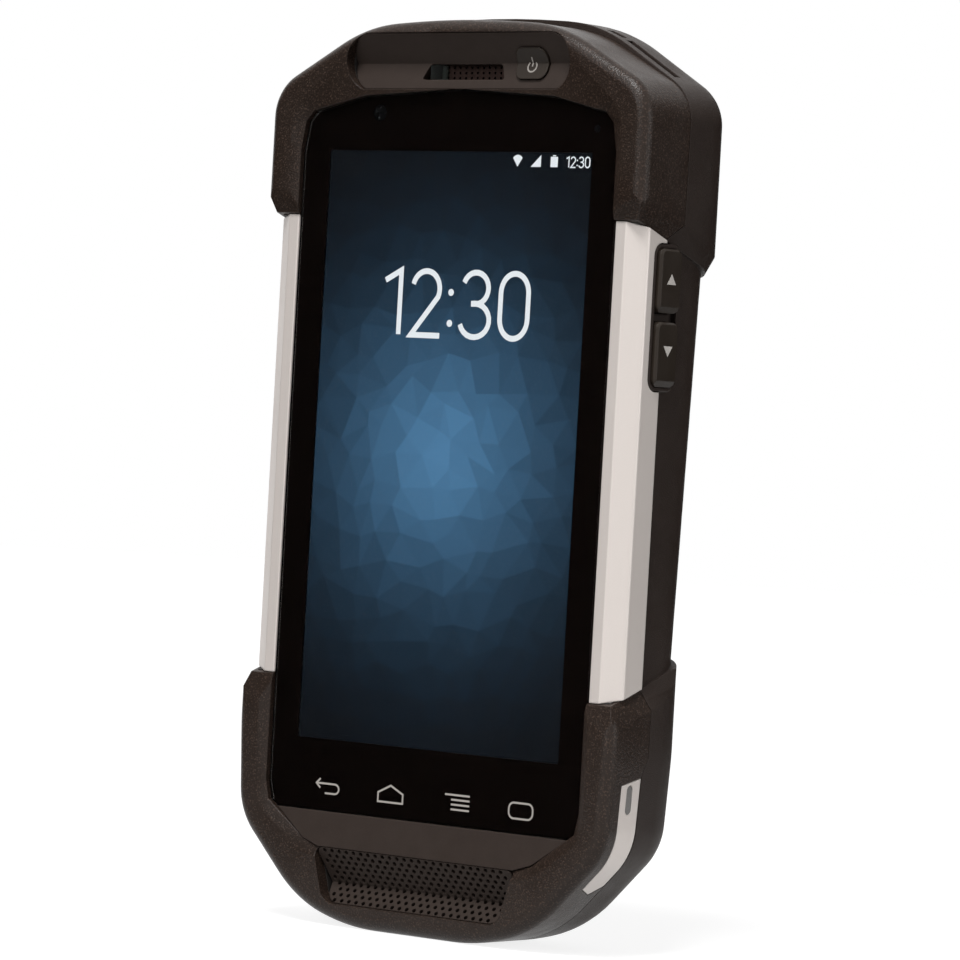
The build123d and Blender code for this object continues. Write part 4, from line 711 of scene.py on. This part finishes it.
class TERMINAL_OT_glass(bpy.types.Operator):
    """Print the dark border behind the glass and lay the clear touch film"""

    bl_idname = "terminal.glass"
    bl_label = "Glass border"

    def execute(self, context):
        (left, low), (right, high) = screen_span()
        window = [(left, low), (right, low), (right, high), (left, high)]
        camera = arc(middle_of("front_camera"), (1.5 * MM, 1.5 * MM), 0, 348.75, 31)
        sensor = arc(middle_of("light_sensor"), (0.7 * MM, 0.7 * MM), 0, 337.5, 15)
        points, faces = flat_fill([glass_corners(0.1 * MM), window, camera, sensor])
        ink, tree, shader = new_material("border ink", Roughness=0.6, Specular_IOR_Level=0.0)
        cloud = add(tree, "ShaderNodeTexNoise", {"Vector": object_place(tree), "Scale": 300.0})
        base = blend_colours(tree, cloud.outputs[0], shade(srgb(13, 9, 8), 1.0), shade(srgb(17, 12, 10), 1.0))
        tree.links.new(base, shader["Base Color"])
        depth = GLASS_HIGH.y - INK_DEPTH
        put("border_ink", "terminal", "cover_glass", [(x, depth, z) for x, z in points], faces, ink)
        low, high = FILM_LOW.copy(), FILM_HIGH.copy()
        low.y += 0.03 * MM
        high.y -= 0.1 * MM
        film = bmesh.new()
        bmesh.ops.create_cube(film, size=1.0)
        bmesh.ops.scale(film, vec=high - low, verts=film.verts)
        bmesh.ops.translate(film, vec=(low + high) / 2, verts=film.verts)
        mesh = bpy.data.meshes.new("touch_film")
        film.to_mesh(mesh)
        film.free()
        settle(bpy.data.objects.new("touch_film", mesh), "terminal", "film", replaces=["touch_panel"])
        return {"FINISHED"}


def facet_points(low, high, side):
    """Shifted rows of points over the screen, each moved a little at random, with even borders."""
    rng = random.Random(7)
    columns = max(2, round((high[0] - low[0]) / side))
    rows = max(2, round((high[1] - low[1]) / (side * 0.87)))
    points = []
    for row in range(rows + 1):
        up = low[1] + (high[1] - low[1]) * row / rows
        for column in range(columns + 1 + row % 2):
            share = (column - 0.5 * (row % 2)) / columns
            across = low[0] + (high[0] - low[0]) * min(1.0, max(0.0, share))
            loose_x = 0.33 * side if 0.0 < share < 1.0 else 0.0
            loose_z = 0.33 * side if 0 < row < rows else 0.0
            points.append((across + rng.uniform(-loose_x, loose_x), up + rng.uniform(-loose_z, loose_z)))
    return points


def facet_colour(across, up, chance):
    """Blue glow that fades from the middle of the screen to its edges."""
    glow, night = colours().glow, colours().night
    (left, low), (right, high) = screen_span()
    away = math.hypot(across - (left + right) / 2, up - (low + high) / 2 + 0.4 * MM)
    share = math.exp(-GLOW_FALL * (away / GLOW_REACH) ** GLOW_BEND) * (1.0 + 0.1 * chance)
    return [night[i] + (glow[i] - night[i]) * min(1.0, share) for i in range(3)] + [1.0]


class TERMINAL_OT_screen(bpy.types.Operator):
    """Light the screen: faceted picture, clock and status signs"""

    bl_idname = "terminal.screen"
    bl_label = "Screen"

    def execute(self, context):
        low, high = screen_span()
        depth = DISPLAY_LOW.y - 0.03 * MM
        self.picture(low, high, depth)
        light = lit("screen white", colours().light)
        place = facing_front(depth - 0.02 * MM)
        middle_z = (low[1] + high[1]) / 2
        clock = clock_shapes(17.2 * MM, middle_z + 19.9 * MM, sizes().clock_height, sizes().clock_stroke)
        print_on("clock_digits", clock, place, "terminal", "display", light, 0.01 * MM)
        signs = self.status(high[0], high[1])
        print_on("status_signs", signs, place, "terminal", "display", light, 0.01 * MM)
        return {"FINISHED"}

    def picture(self, low, high, depth):
        points = facet_points(low, high, sizes().facet)
        spots = [Vector(point) for point in points]
        verts, _, faces, _, _, _ = geometry.delaunay_2d_cdt(spots, [], [], 0, 1e-7)
        places = [(v.x, depth, v.y) for v in verts]
        faces = [tuple(face) for face in faces]
        piece = put("screen_picture", "terminal", "display", places, faces, picture_material())
        paint = piece.data.color_attributes.new("facet_colour", "FLOAT_COLOR", "CORNER")
        rng = random.Random(11)
        for face in piece.data.polygons:
            chance = rng.uniform(-1, 1)
            for loop in face.loop_indices:
                spot = piece.data.vertices[piece.data.loops[loop].vertex_index].co.lerp(face.center, 0.8)
                paint.data[loop].color = facet_colour(spot.x, spot.z, chance)

    def status(self, right, top):
        """Reception wedge, signal triangle, battery and a small clock, from left to right."""
        tall = 2.05 * MM
        foot = top - 0.45 * MM - tall
        shapes = clock_shapes(right - 0.6 * MM, foot, 0.86 * tall, 0.23 * MM)
        x = right - 9.1 * MM
        shapes.append(rectangle((x, foot), (x + 1.55 * MM, foot + 0.86 * tall)))
        shapes.append(rectangle((x + 0.45 * MM, foot + 0.9 * tall), (x + 1.1 * MM, foot + tall)))
        x = right - 13.4 * MM
        shapes.append(filled([(x, foot), (x + 2.2 * MM, foot), (x + 2.2 * MM, foot + tall)]))
        x = right - 16.3 * MM
        fan = arc((x, foot), (0.75 * tall, tall), 48, 132, 8)
        shapes.append(filled([(x, foot)] + fan))
        return shapes


def back_arrow():
    """Return arrow: head at the left, and a tail that turns back below it."""
    tail = [(-2.5, 0.85)] + arc((1.65, 0.0), (0.95, 0.85), 90, -90, 10) + [(-0.56, -0.85)]
    return [(tail, False), ([(-1.7, 1.68), (-2.6, 0.85), (-1.7, 0.02)], False)]


def house():
    walls = [(-2.8, -1.45), (2.8, -1.45), (2.8, 0.15), (0.0, 1.5), (-2.8, 0.15)]
    return [(walls, True)]


def list_lines():
    lines = [([(-2.75, 1.26), (2.75, 1.26)], False)]
    for up in (0.42, -0.42, -1.26):
        lines.append(([(-1.34, up), (2.75, up)], False))
    return lines


def round_frame():
    corner = [((1.55, 0.3), 0), ((-1.55, 0.3), 90), ((-1.55, -0.3), 180), ((1.55, -0.3), 270)]
    points = []
    for middle, start in corner:
        points += arc(middle, (1.05, 1.05), start, start + 90, 6)
    return [(points, True)]


SIGNS = ((back_arrow, -21.7, 0.0), (house, -7.25, 0.3), (list_lines, 7.75, 0.2), (round_frame, 21.8, 0.0))


class TERMINAL_OT_signs(bpy.types.Operator):
    """Print the touch signs below the screen, the keys' marks and the power sign"""

    bl_idname = "terminal.signs"
    bl_label = "Signs"

    def execute(self, context):
        # The touch signs glow at their print colour. This is their backlight, and also painted light in place
        # of the lamp light that would reach the print through the glass.
        glow = lit("sign print", colours().sign)
        width = sizes().sign_stroke
        up = DISPLAY_LOW.z - 6.7 * MM
        shapes = []
        for make, across, lift in SIGNS:
            for points, closed in make():
                placed = [(across * MM + x * MM, up + lift * MM + z * MM) for x, z in points]
                shapes.append(stroke(placed, width, closed))
        place = facing_front(GLASS_HIGH.y - 1.5 * INK_DEPTH)
        print_on("touch_signs", shapes, place, "terminal", "cover_glass", glow, 0.01 * MM)
        self.key_marks()
        self.power_mark()
        return {"FINISHED"}

    def key_marks(self):
        """A triangle on each volume key, pointing up and down."""
        print_white = moulded("key print", srgb(198, 192, 186), 0.2 * MM, 0.002 * MM, 0.5, 0.05 * MM)
        for node, way, lift in (("volume_up_key", 1, 0.25 * MM), ("volume_down_key", -1, 0.6 * MM)):
            low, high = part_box(node)
            middle_y, middle_z = low.y + 3.6 * MM, (low.z + high.z) / 2 + lift
            points = [(-1.25, -0.85 * way), (1.25, -0.85 * way), (0.0, 0.95 * way)][::way]
            shape = ([(a * MM, b * MM) for a, b in points], [(0, 1, 2)])
            side = lambda a, b, x=high.x, y=middle_y, z=middle_z: (x, y + a, z + b)
            print_on(node + "_mark", [shape], side, body_of(node), "key", print_white, 0.03 * MM)

    def power_mark(self):
        """Power sign that follows the button's bent face."""
        across, up = middle_of("power_button")
        middle = (across, up - 0.5 * MM)
        ring = arc(middle, (0.93 * MM, 0.93 * MM), 130, 410, 24)
        bar = [(middle[0], middle[1] + 0.2 * MM * step) for step in range(9)]
        shapes = [stroke(ring, 0.28 * MM), stroke(bar, 0.28 * MM)]
        grey = moulded("button print", srgb(150, 144, 138), 0.2 * MM, 0.002 * MM, 0.5, 0.05 * MM)
        place = on_front_of("power_button")
        print_on("power_mark", shapes, place, "power_button", "button", grey, 0.03 * MM)


# Speaker grille

GRILLE_TAPER = 2.8 * MM
GRILLE_LOW_SLOPE = 3.4 * MM
GRILLE_VALLEY = 2.9 * MM
GRILLE_LOW_RISE = 0.3 * MM
GRILLE_WALL = 1.0 * MM


def rounded(corners, steps=5):
    """Points of a closed outline whose corners (across, up, radius) are rounded."""
    points = []
    for i, (x, y, radius) in enumerate(corners):
        here = Vector((x, y))
        into = (here - Vector(corners[i - 1][:2])).normalized()
        out = (Vector(corners[(i + 1) % len(corners)][:2]) - here).normalized()
        turn = into.angle_signed(out)
        cut = radius * abs(math.tan(turn / 2))
        inward = (out - into).normalized()
        middle = here + inward * math.hypot(cut, radius)
        first = here - into * cut - middle
        for step in range(steps + 1):
            points.append(tuple(middle + Matrix.Rotation(-turn * step / steps, 2) @ first))
    return points


def grille_outline():
    """Front view of the speaker grille, narrower towards the bottom."""
    low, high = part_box("speaker_grille")
    foot = high.x - GRILLE_TAPER
    corners = [
        (high.x, high.z, 1.0 * MM),
        (-high.x, high.z, 1.0 * MM),
        (-foot, low.z, 3.0 * MM),
        (foot, low.z, 3.0 * MM),
    ]
    return rounded(corners)


def grille_plate():
    """Folded plate, as points and faces: a low slope and a high slope that meet in a valley."""
    low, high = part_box("speaker_grille")
    valley_z = low.z + GRILLE_LOW_SLOPE
    loop = grille_outline()
    halves = []
    for keep in (1, -1):
        part = []
        for i, (x, z) in enumerate(loop):
            x_next, z_next = loop[(i + 1) % len(loop)]
            if (z - valley_z) * keep > 0:
                part.append((x, z))
            if (z - valley_z) * (z_next - valley_z) < 0:
                share = (valley_z - z) / (z_next - z)
                part.append((x + (x_next - x) * share, valley_z))
        halves.append(part)

    def depth(z):
        if z > valley_z:
            share = (z - valley_z) / (high.z - valley_z)
            return low.y + GRILLE_VALLEY * (1 - share)
        share = (z - low.z) / (valley_z - low.z)
        return low.y + GRILLE_LOW_RISE + (GRILLE_VALLEY - GRILLE_LOW_RISE) * share

    verts, faces = [], []
    for part in halves:
        count, start = len(part), len(verts)
        verts += [(x, depth(z), z) for x, z in part]
        verts += [(x, depth(z) + GRILLE_WALL, z) for x, z in part]
        faces.append(tuple(start + i for i in range(count)))
        faces.append(tuple(start + count + i for i in reversed(range(count))))
        for i in range(count):
            j = (i + 1) % count
            if part[i][1] != valley_z or part[j][1] != valley_z:
                faces.append((start + i, start + count + i, start + count + j, start + j))
    return verts, faces


def modifier_tree(name, inputs):
    """Empty Geometry Nodes tree with a mesh going in and out and the named inputs."""
    tree = bpy.data.node_groups.new(name, "GeometryNodeTree")
    tree.is_modifier = True
    tree.interface.new_socket("Mesh", in_out="INPUT", socket_type="NodeSocketGeometry")
    for label, kind in inputs.items():
        tree.interface.new_socket(label, in_out="INPUT", socket_type=kind)
    tree.interface.new_socket("Mesh", in_out="OUTPUT", socket_type="NodeSocketGeometry")
    return tree, tree.nodes.new("NodeGroupInput").outputs, tree.nodes.new("NodeGroupOutput").inputs


def set_inputs(modifier, **values):
    """Sets a modifier's inputs by their names, through the sockets' identifiers."""
    for item in modifier.node_group.interface.items_tree:
        label = item.name.replace(" ", "_")
        if item.in_out == "INPUT" and label in values:
            modifier[item.identifier] = values[label]


def perforation_tree():
    """Punches staggered rows of holes, square to each slope, through a plate that narrows downwards."""
    lengths = ("Pitch", "Row Distance", "Hole Radius", "Hole Length", "Middle Height", "Valley Height")
    lengths += ("Valley Depth", "Low Slope", "High Slope", "Foot Half", "Head Half", "Height")
    kinds = {label: "NodeSocketFloat" for label in lengths}
    kinds |= {"Columns": "NodeSocketInt", "Rows": "NodeSocketInt", "Hole Sides": "NodeSocketInt"}
    kinds["Finish"] = "NodeSocketMaterial"
    tree, given, result = modifier_tree("Perforation", kinds)
    wide = math_node(tree, "MULTIPLY", math_node(tree, "SUBTRACT", given["Columns"], 1.0), given["Pitch"])
    tall = math_node(tree, "MULTIPLY", math_node(tree, "SUBTRACT", given["Rows"], 1.0), given["Row Distance"])
    inputs = {"Size X": wide, "Size Y": tall, "Vertices X": given["Columns"], "Vertices Y": given["Rows"]}
    grid = add(tree, "GeometryNodeMeshGrid", inputs).outputs["Mesh"]
    spot = add(tree, "ShaderNodeSeparateXYZ", {0: add(tree, "GeometryNodeInputPosition").outputs[0]}).outputs
    from_foot = math_node(tree, "ADD", spot["Y"], math_node(tree, "DIVIDE", tall, 2.0))
    row = math_node(tree, "ROUND", math_node(tree, "DIVIDE", from_foot, given["Row Distance"]))
    odd = math_node(tree, "SUBTRACT", math_node(tree, "MODULO", row, 2.0), 0.5)
    shift = math_node(tree, "MULTIPLY", math_node(tree, "MULTIPLY", odd, 0.5), given["Pitch"])
    across = math_node(tree, "ADD", spot["X"], shift)
    up = math_node(tree, "ADD", spot["Y"], given["Middle Height"])
    rise = math_node(tree, "SUBTRACT", up, given["Valley Height"])
    high_side = math_node(tree, "GREATER_THAN", rise, 0.0)
    change = math_node(tree, "ADD", given["High Slope"], given["Low Slope"])
    slope = math_node(tree, "SUBTRACT", math_node(tree, "MULTIPLY", high_side, change), given["Low Slope"])
    depth = math_node(tree, "SUBTRACT", given["Valley Depth"], math_node(tree, "MULTIPLY", rise, slope))
    place = add(tree, "ShaderNodeCombineXYZ", {"X": across, "Y": depth, "Z": up}).outputs[0]
    tilt = math_node(tree, "ADD", math_node(tree, "ARCTANGENT", slope), math.pi / 2)
    turn = add(tree, "ShaderNodeCombineXYZ", {"X": tilt}).outputs[0]
    share = math_node(tree, "DIVIDE", from_foot, given["Height"])
    wider = math_node(tree, "SUBTRACT", given["Head Half"], given["Foot Half"])
    reach = math_node(tree, "MULTIPLY_ADD", share, wider)
    tree.links.new(given["Foot Half"], reach.node.inputs[2])
    outside = math_node(tree, "GREATER_THAN", math_node(tree, "ABSOLUTE", across), reach)
    aimed = add(
        tree,
        "GeometryNodeStoreNamedAttribute",
        {"Geometry": grid, "Name": "turn", "Value": turn},
        data_type="FLOAT_VECTOR",
    ).outputs[0]
    inputs = {"Geometry": aimed, "Selection": outside}
    kept = add(tree, "GeometryNodeDeleteGeometry", inputs, domain="POINT")
    placed = add(tree, "GeometryNodeSetPosition", {"Geometry": kept.outputs[0], "Position": place})
    turned = add(tree, "GeometryNodeInputNamedAttribute", {"Name": "turn"}, data_type="FLOAT_VECTOR")
    inputs = {"Vertices": given["Hole Sides"], "Radius": given["Hole Radius"], "Depth": given["Hole Length"]}
    punch = add(tree, "GeometryNodeMeshCylinder", inputs).outputs["Mesh"]
    inputs = {"Points": placed.outputs[0], "Instance": punch, "Rotation": turned.outputs[0]}
    punches = add(tree, "GeometryNodeInstanceOnPoints", inputs).outputs[0]
    solid = add(tree, "GeometryNodeRealizeInstances", {"Geometry": punches}).outputs[0]
    inputs = {"Mesh 1": given["Mesh"], "Mesh 2": solid}
    holed = add(tree, "GeometryNodeMeshBoolean", inputs, operation="DIFFERENCE", solver="EXACT")
    whole = add(tree, "GeometryNodeRealizeInstances", {"Geometry": holed.outputs[0]}).outputs[0]
    inputs = {"Geometry": whole, "Material": given["Finish"]}
    tree.links.new(add(tree, "GeometryNodeSetMaterial", inputs).outputs[0], result["Mesh"])
    return tree


class TERMINAL_OT_grille(bpy.types.Operator):
    """Fold the speaker grille's plate and punch its holes"""

    bl_idname = "terminal.grille"
    bl_label = "Speaker grille"

    def execute(self, context):
        low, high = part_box("speaker_grille")
        size = sizes()
        verts, faces = grille_plate()
        mesh = bpy.data.meshes.new("speaker_grille_plate")
        mesh.from_pydata(verts, [], faces)
        work = bmesh.new()
        work.from_mesh(mesh)
        bmesh.ops.remove_doubles(work, verts=work.verts, dist=0.001 * MM)
        bmesh.ops.recalc_face_normals(work, faces=work.faces)
        work.to_mesh(mesh)
        work.free()
        piece = bpy.data.objects.new("speaker_grille_plate", mesh)
        modifier = piece.modifiers.new("perforation", "NODES")
        modifier.node_group = perforation_tree()
        rows = int((high.z - low.z - 2 * size.hole_radius) / size.hole_row) + 1
        margin = size.hole_radius + 0.5 * MM
        set_inputs(
            modifier,
            Pitch=size.hole_pitch,
            Row_Distance=size.hole_row,
            Hole_Radius=size.hole_radius,
            Hole_Sides=size.hole_sides,
            Hole_Length=3.0 * MM,
            Middle_Height=(low.z + high.z) / 2,
            Valley_Height=low.z + GRILLE_LOW_SLOPE,
            Valley_Depth=low.y + GRILLE_VALLEY,
            Low_Slope=(GRILLE_VALLEY - GRILLE_LOW_RISE) / GRILLE_LOW_SLOPE,
            High_Slope=GRILLE_VALLEY / (high.z - low.z - GRILLE_LOW_SLOPE),
            Foot_Half=high.x - GRILLE_TAPER - margin,
            Head_Half=high.x - margin,
            Height=high.z - low.z,
            Columns=int(2 * high.x / size.hole_pitch) + 2,
            Rows=rows,
            Finish=finish_of(slot_of("speaker_grille")),
        )
        settle(baked(piece), "terminal", slot_of("speaker_grille"), replaces=["speaker_grille"])
        return {"FINISHED"}


# Stage

FLOOR_PLAIN = 0.12  # within this distance the floor shows its shadow most
FLOOR_WHITE = 0.6  # past this distance the floor is plain white
NEAR_GLOW = 0.82
CARD_REACH = 0.2
CARD_HEIGHT = 0.24
CARD_ARCS = {"left_card": (180, 272), "right_card": (5, 100)}  # degrees, from the right side


def aim(thing, place, target):
    """Puts a lamp or a card at a place, turned towards a target."""
    thing.location = place
    thing.rotation_euler = (Vector(target) - Vector(place)).to_track_quat("-Z", "Y").to_euler()


def lamp(name, place, target, side, power):
    data = bpy.data.lights.new(name, "AREA")
    data.shape = "SQUARE"
    data.size = side
    data.energy = power
    thing = bpy.data.objects.new(name, data)
    bpy.context.scene.collection.objects.link(thing)
    aim(thing, place, target)


def stage_mesh(name, points, faces, material):
    mesh = bpy.data.meshes.new(name)
    mesh.from_pydata(points, [], faces)
    mesh.materials.append(material)
    thing = bpy.data.objects.new(name, mesh)
    bpy.context.scene.collection.objects.link(thing)
    return thing


def pale_sight(tree):
    """1 for rays that look at the background, straight, mirrored or through glass."""
    path = add(tree, "ShaderNodeLightPath").outputs
    sight = math_node(tree, "MAXIMUM", path["Is Camera Ray"], path["Is Glossy Ray"])
    return math_node(tree, "MAXIMUM", sight, path["Is Transmission Ray"])


class TERMINAL_OT_stage(bpy.types.Operator):
    """Set the floor, the lights and the camera"""

    bl_idname = "terminal.stage"
    bl_label = "Stage"

    def execute(self, context):
        scene = context.scene
        scene.view_settings.view_transform = "Standard"
        self.world(scene)
        self.floor()
        self.cards()
        centre = (0.0, 0.0, 0.08)
        lamp("top_softbox", (0.16, -0.55, 1.2), centre, 0.4, 14.0)
        lamp("front_softbox", (-0.1, -1.15, 0.62), centre, 0.7, 5.2)
        lamp("side_softbox", (1.0, 0.25, 0.3), centre, 0.5, 3.4)
        self.camera(scene)
        return {"FINISHED"}

    def world(self, scene):
        world = bpy.data.worlds.new("studio")
        scene.world = world
        world.use_nodes = True
        tree = world.node_tree
        background = tree.nodes["Background"]
        strength = spread(tree, pale_sight(tree), 0.0, 1.0, 0.2, 1.0)
        tree.links.new(strength, background.inputs["Strength"])
        background.inputs["Color"].default_value = (1.0, 1.0, 1.0, 1.0)

    def floor(self):
        material, tree, shader = new_material("floor paper", Roughness=0.9)
        place = object_place(tree)
        away = add(tree, "ShaderNodeVectorMath", {0: place}, operation="LENGTH").outputs["Value"]
        inputs = {"Value": away, "From Min": FLOOR_PLAIN, "From Max": FLOOR_WHITE}
        far = add(tree, "ShaderNodeMapRange", inputs, interpolation_type="SMOOTHSTEP").outputs[0]
        base = blend_colours(tree, far, shade(colours().floor, 1.0), (0.0, 0.0, 0.0, 1.0))
        tree.links.new(base, shader["Base Color"])
        glow = math_node(tree, "MULTIPLY", pale_sight(tree), spread(tree, far, 0.0, 1.0, NEAR_GLOW, 1.0))
        shader["Emission Color"].default_value = (1.0, 1.0, 1.0, 1.0)
        tree.links.new(glow, shader["Emission Strength"])
        reach, steps = 2.2, 64
        rim = arc((0.0, 0.0), (reach, reach), 0, 360 - 360 / steps, steps - 1)
        stage_mesh("floor", [(x, y, 0.0) for x, y in rim], [tuple(range(steps))], material)

    def cards(self):
        """Curved black cards that only mirror rays see."""
        material, _, shader = new_material("black card", Roughness=1.0, Specular_IOR_Level=0.0)
        shader["Base Color"].default_value = (0.004, 0.004, 0.004, 1.0)
        steps = 16
        for name, (start, end) in CARD_ARCS.items():
            rim = arc((0.0, 0.0), (CARD_REACH, CARD_REACH), start, end, steps)
            points = [(x, y, z) for x, y in rim for z in (0.0, CARD_HEIGHT)]
            faces = [(2 * i, 2 * i + 2, 2 * i + 3, 2 * i + 1) for i in range(steps)]
            card = stage_mesh(name, points, faces, material)
            card.visible_camera = False
            card.visible_diffuse = False
            card.visible_shadow = False

    def camera(self, scene):
        data = bpy.data.cameras.new("camera")
        data.sensor_width = 36.0
        data.lens = 186.1
        data.clip_start = 0.01
        thing = bpy.data.objects.new("camera", data)
        scene.collection.objects.link(thing)
        ahead = Vector((-0.62638526, 0.77944555, -0.01030238)).normalized()
        up = Vector((-0.0503398, -0.02725864, 0.99836009)).normalized()
        right = ahead.cross(up).normalized()
        turn = Matrix((right, right.cross(ahead), -ahead)).transposed()
        thing.matrix_world = Matrix.Translation((0.54480, -0.67819, 0.08867)) @ turn.to_4x4()
        scene.camera = thing


class TERMINAL_PT_panel(bpy.types.Panel):
    """Buttons for each group of pieces"""

    bl_label = "Data Terminal"
    bl_space_type = "VIEW_3D"
    bl_region_type = "UI"
    bl_category = "Terminal"

    def draw(self, context):
        for operator in OPERATORS:
            self.layout.operator(operator.bl_idname)
        for settings in (context.scene.terminal_sizes, context.scene.terminal_colours):
            box = self.layout.box()
            for name in settings.__annotations__:
                box.prop(settings, name)


OPERATORS = (
    TERMINAL_OT_finishes,
    TERMINAL_OT_shells,
    TERMINAL_OT_glass,
    TERMINAL_OT_screen,
    TERMINAL_OT_signs,
    TERMINAL_OT_grille,
    TERMINAL_OT_stage,
)
CLASSES = (TerminalSizes, TerminalColours, *OPERATORS, TERMINAL_PT_panel)


def register():
    for item in CLASSES:
        bpy.utils.register_class(item)
    bpy.types.Scene.terminal_sizes = PointerProperty(type=TerminalSizes)
    bpy.types.Scene.terminal_colours = PointerProperty(type=TerminalColours)


def unregister():
    del bpy.types.Scene.terminal_colours
    del bpy.types.Scene.terminal_sizes
    for item in reversed(CLASSES):
        bpy.utils.unregister_class(item)


def main():
    register()
    for operator in OPERATORS:
        group, name = operator.bl_idname.split(".")
        getattr(getattr(bpy.ops, group), name)()


if __name__ == "__main__":
    main()
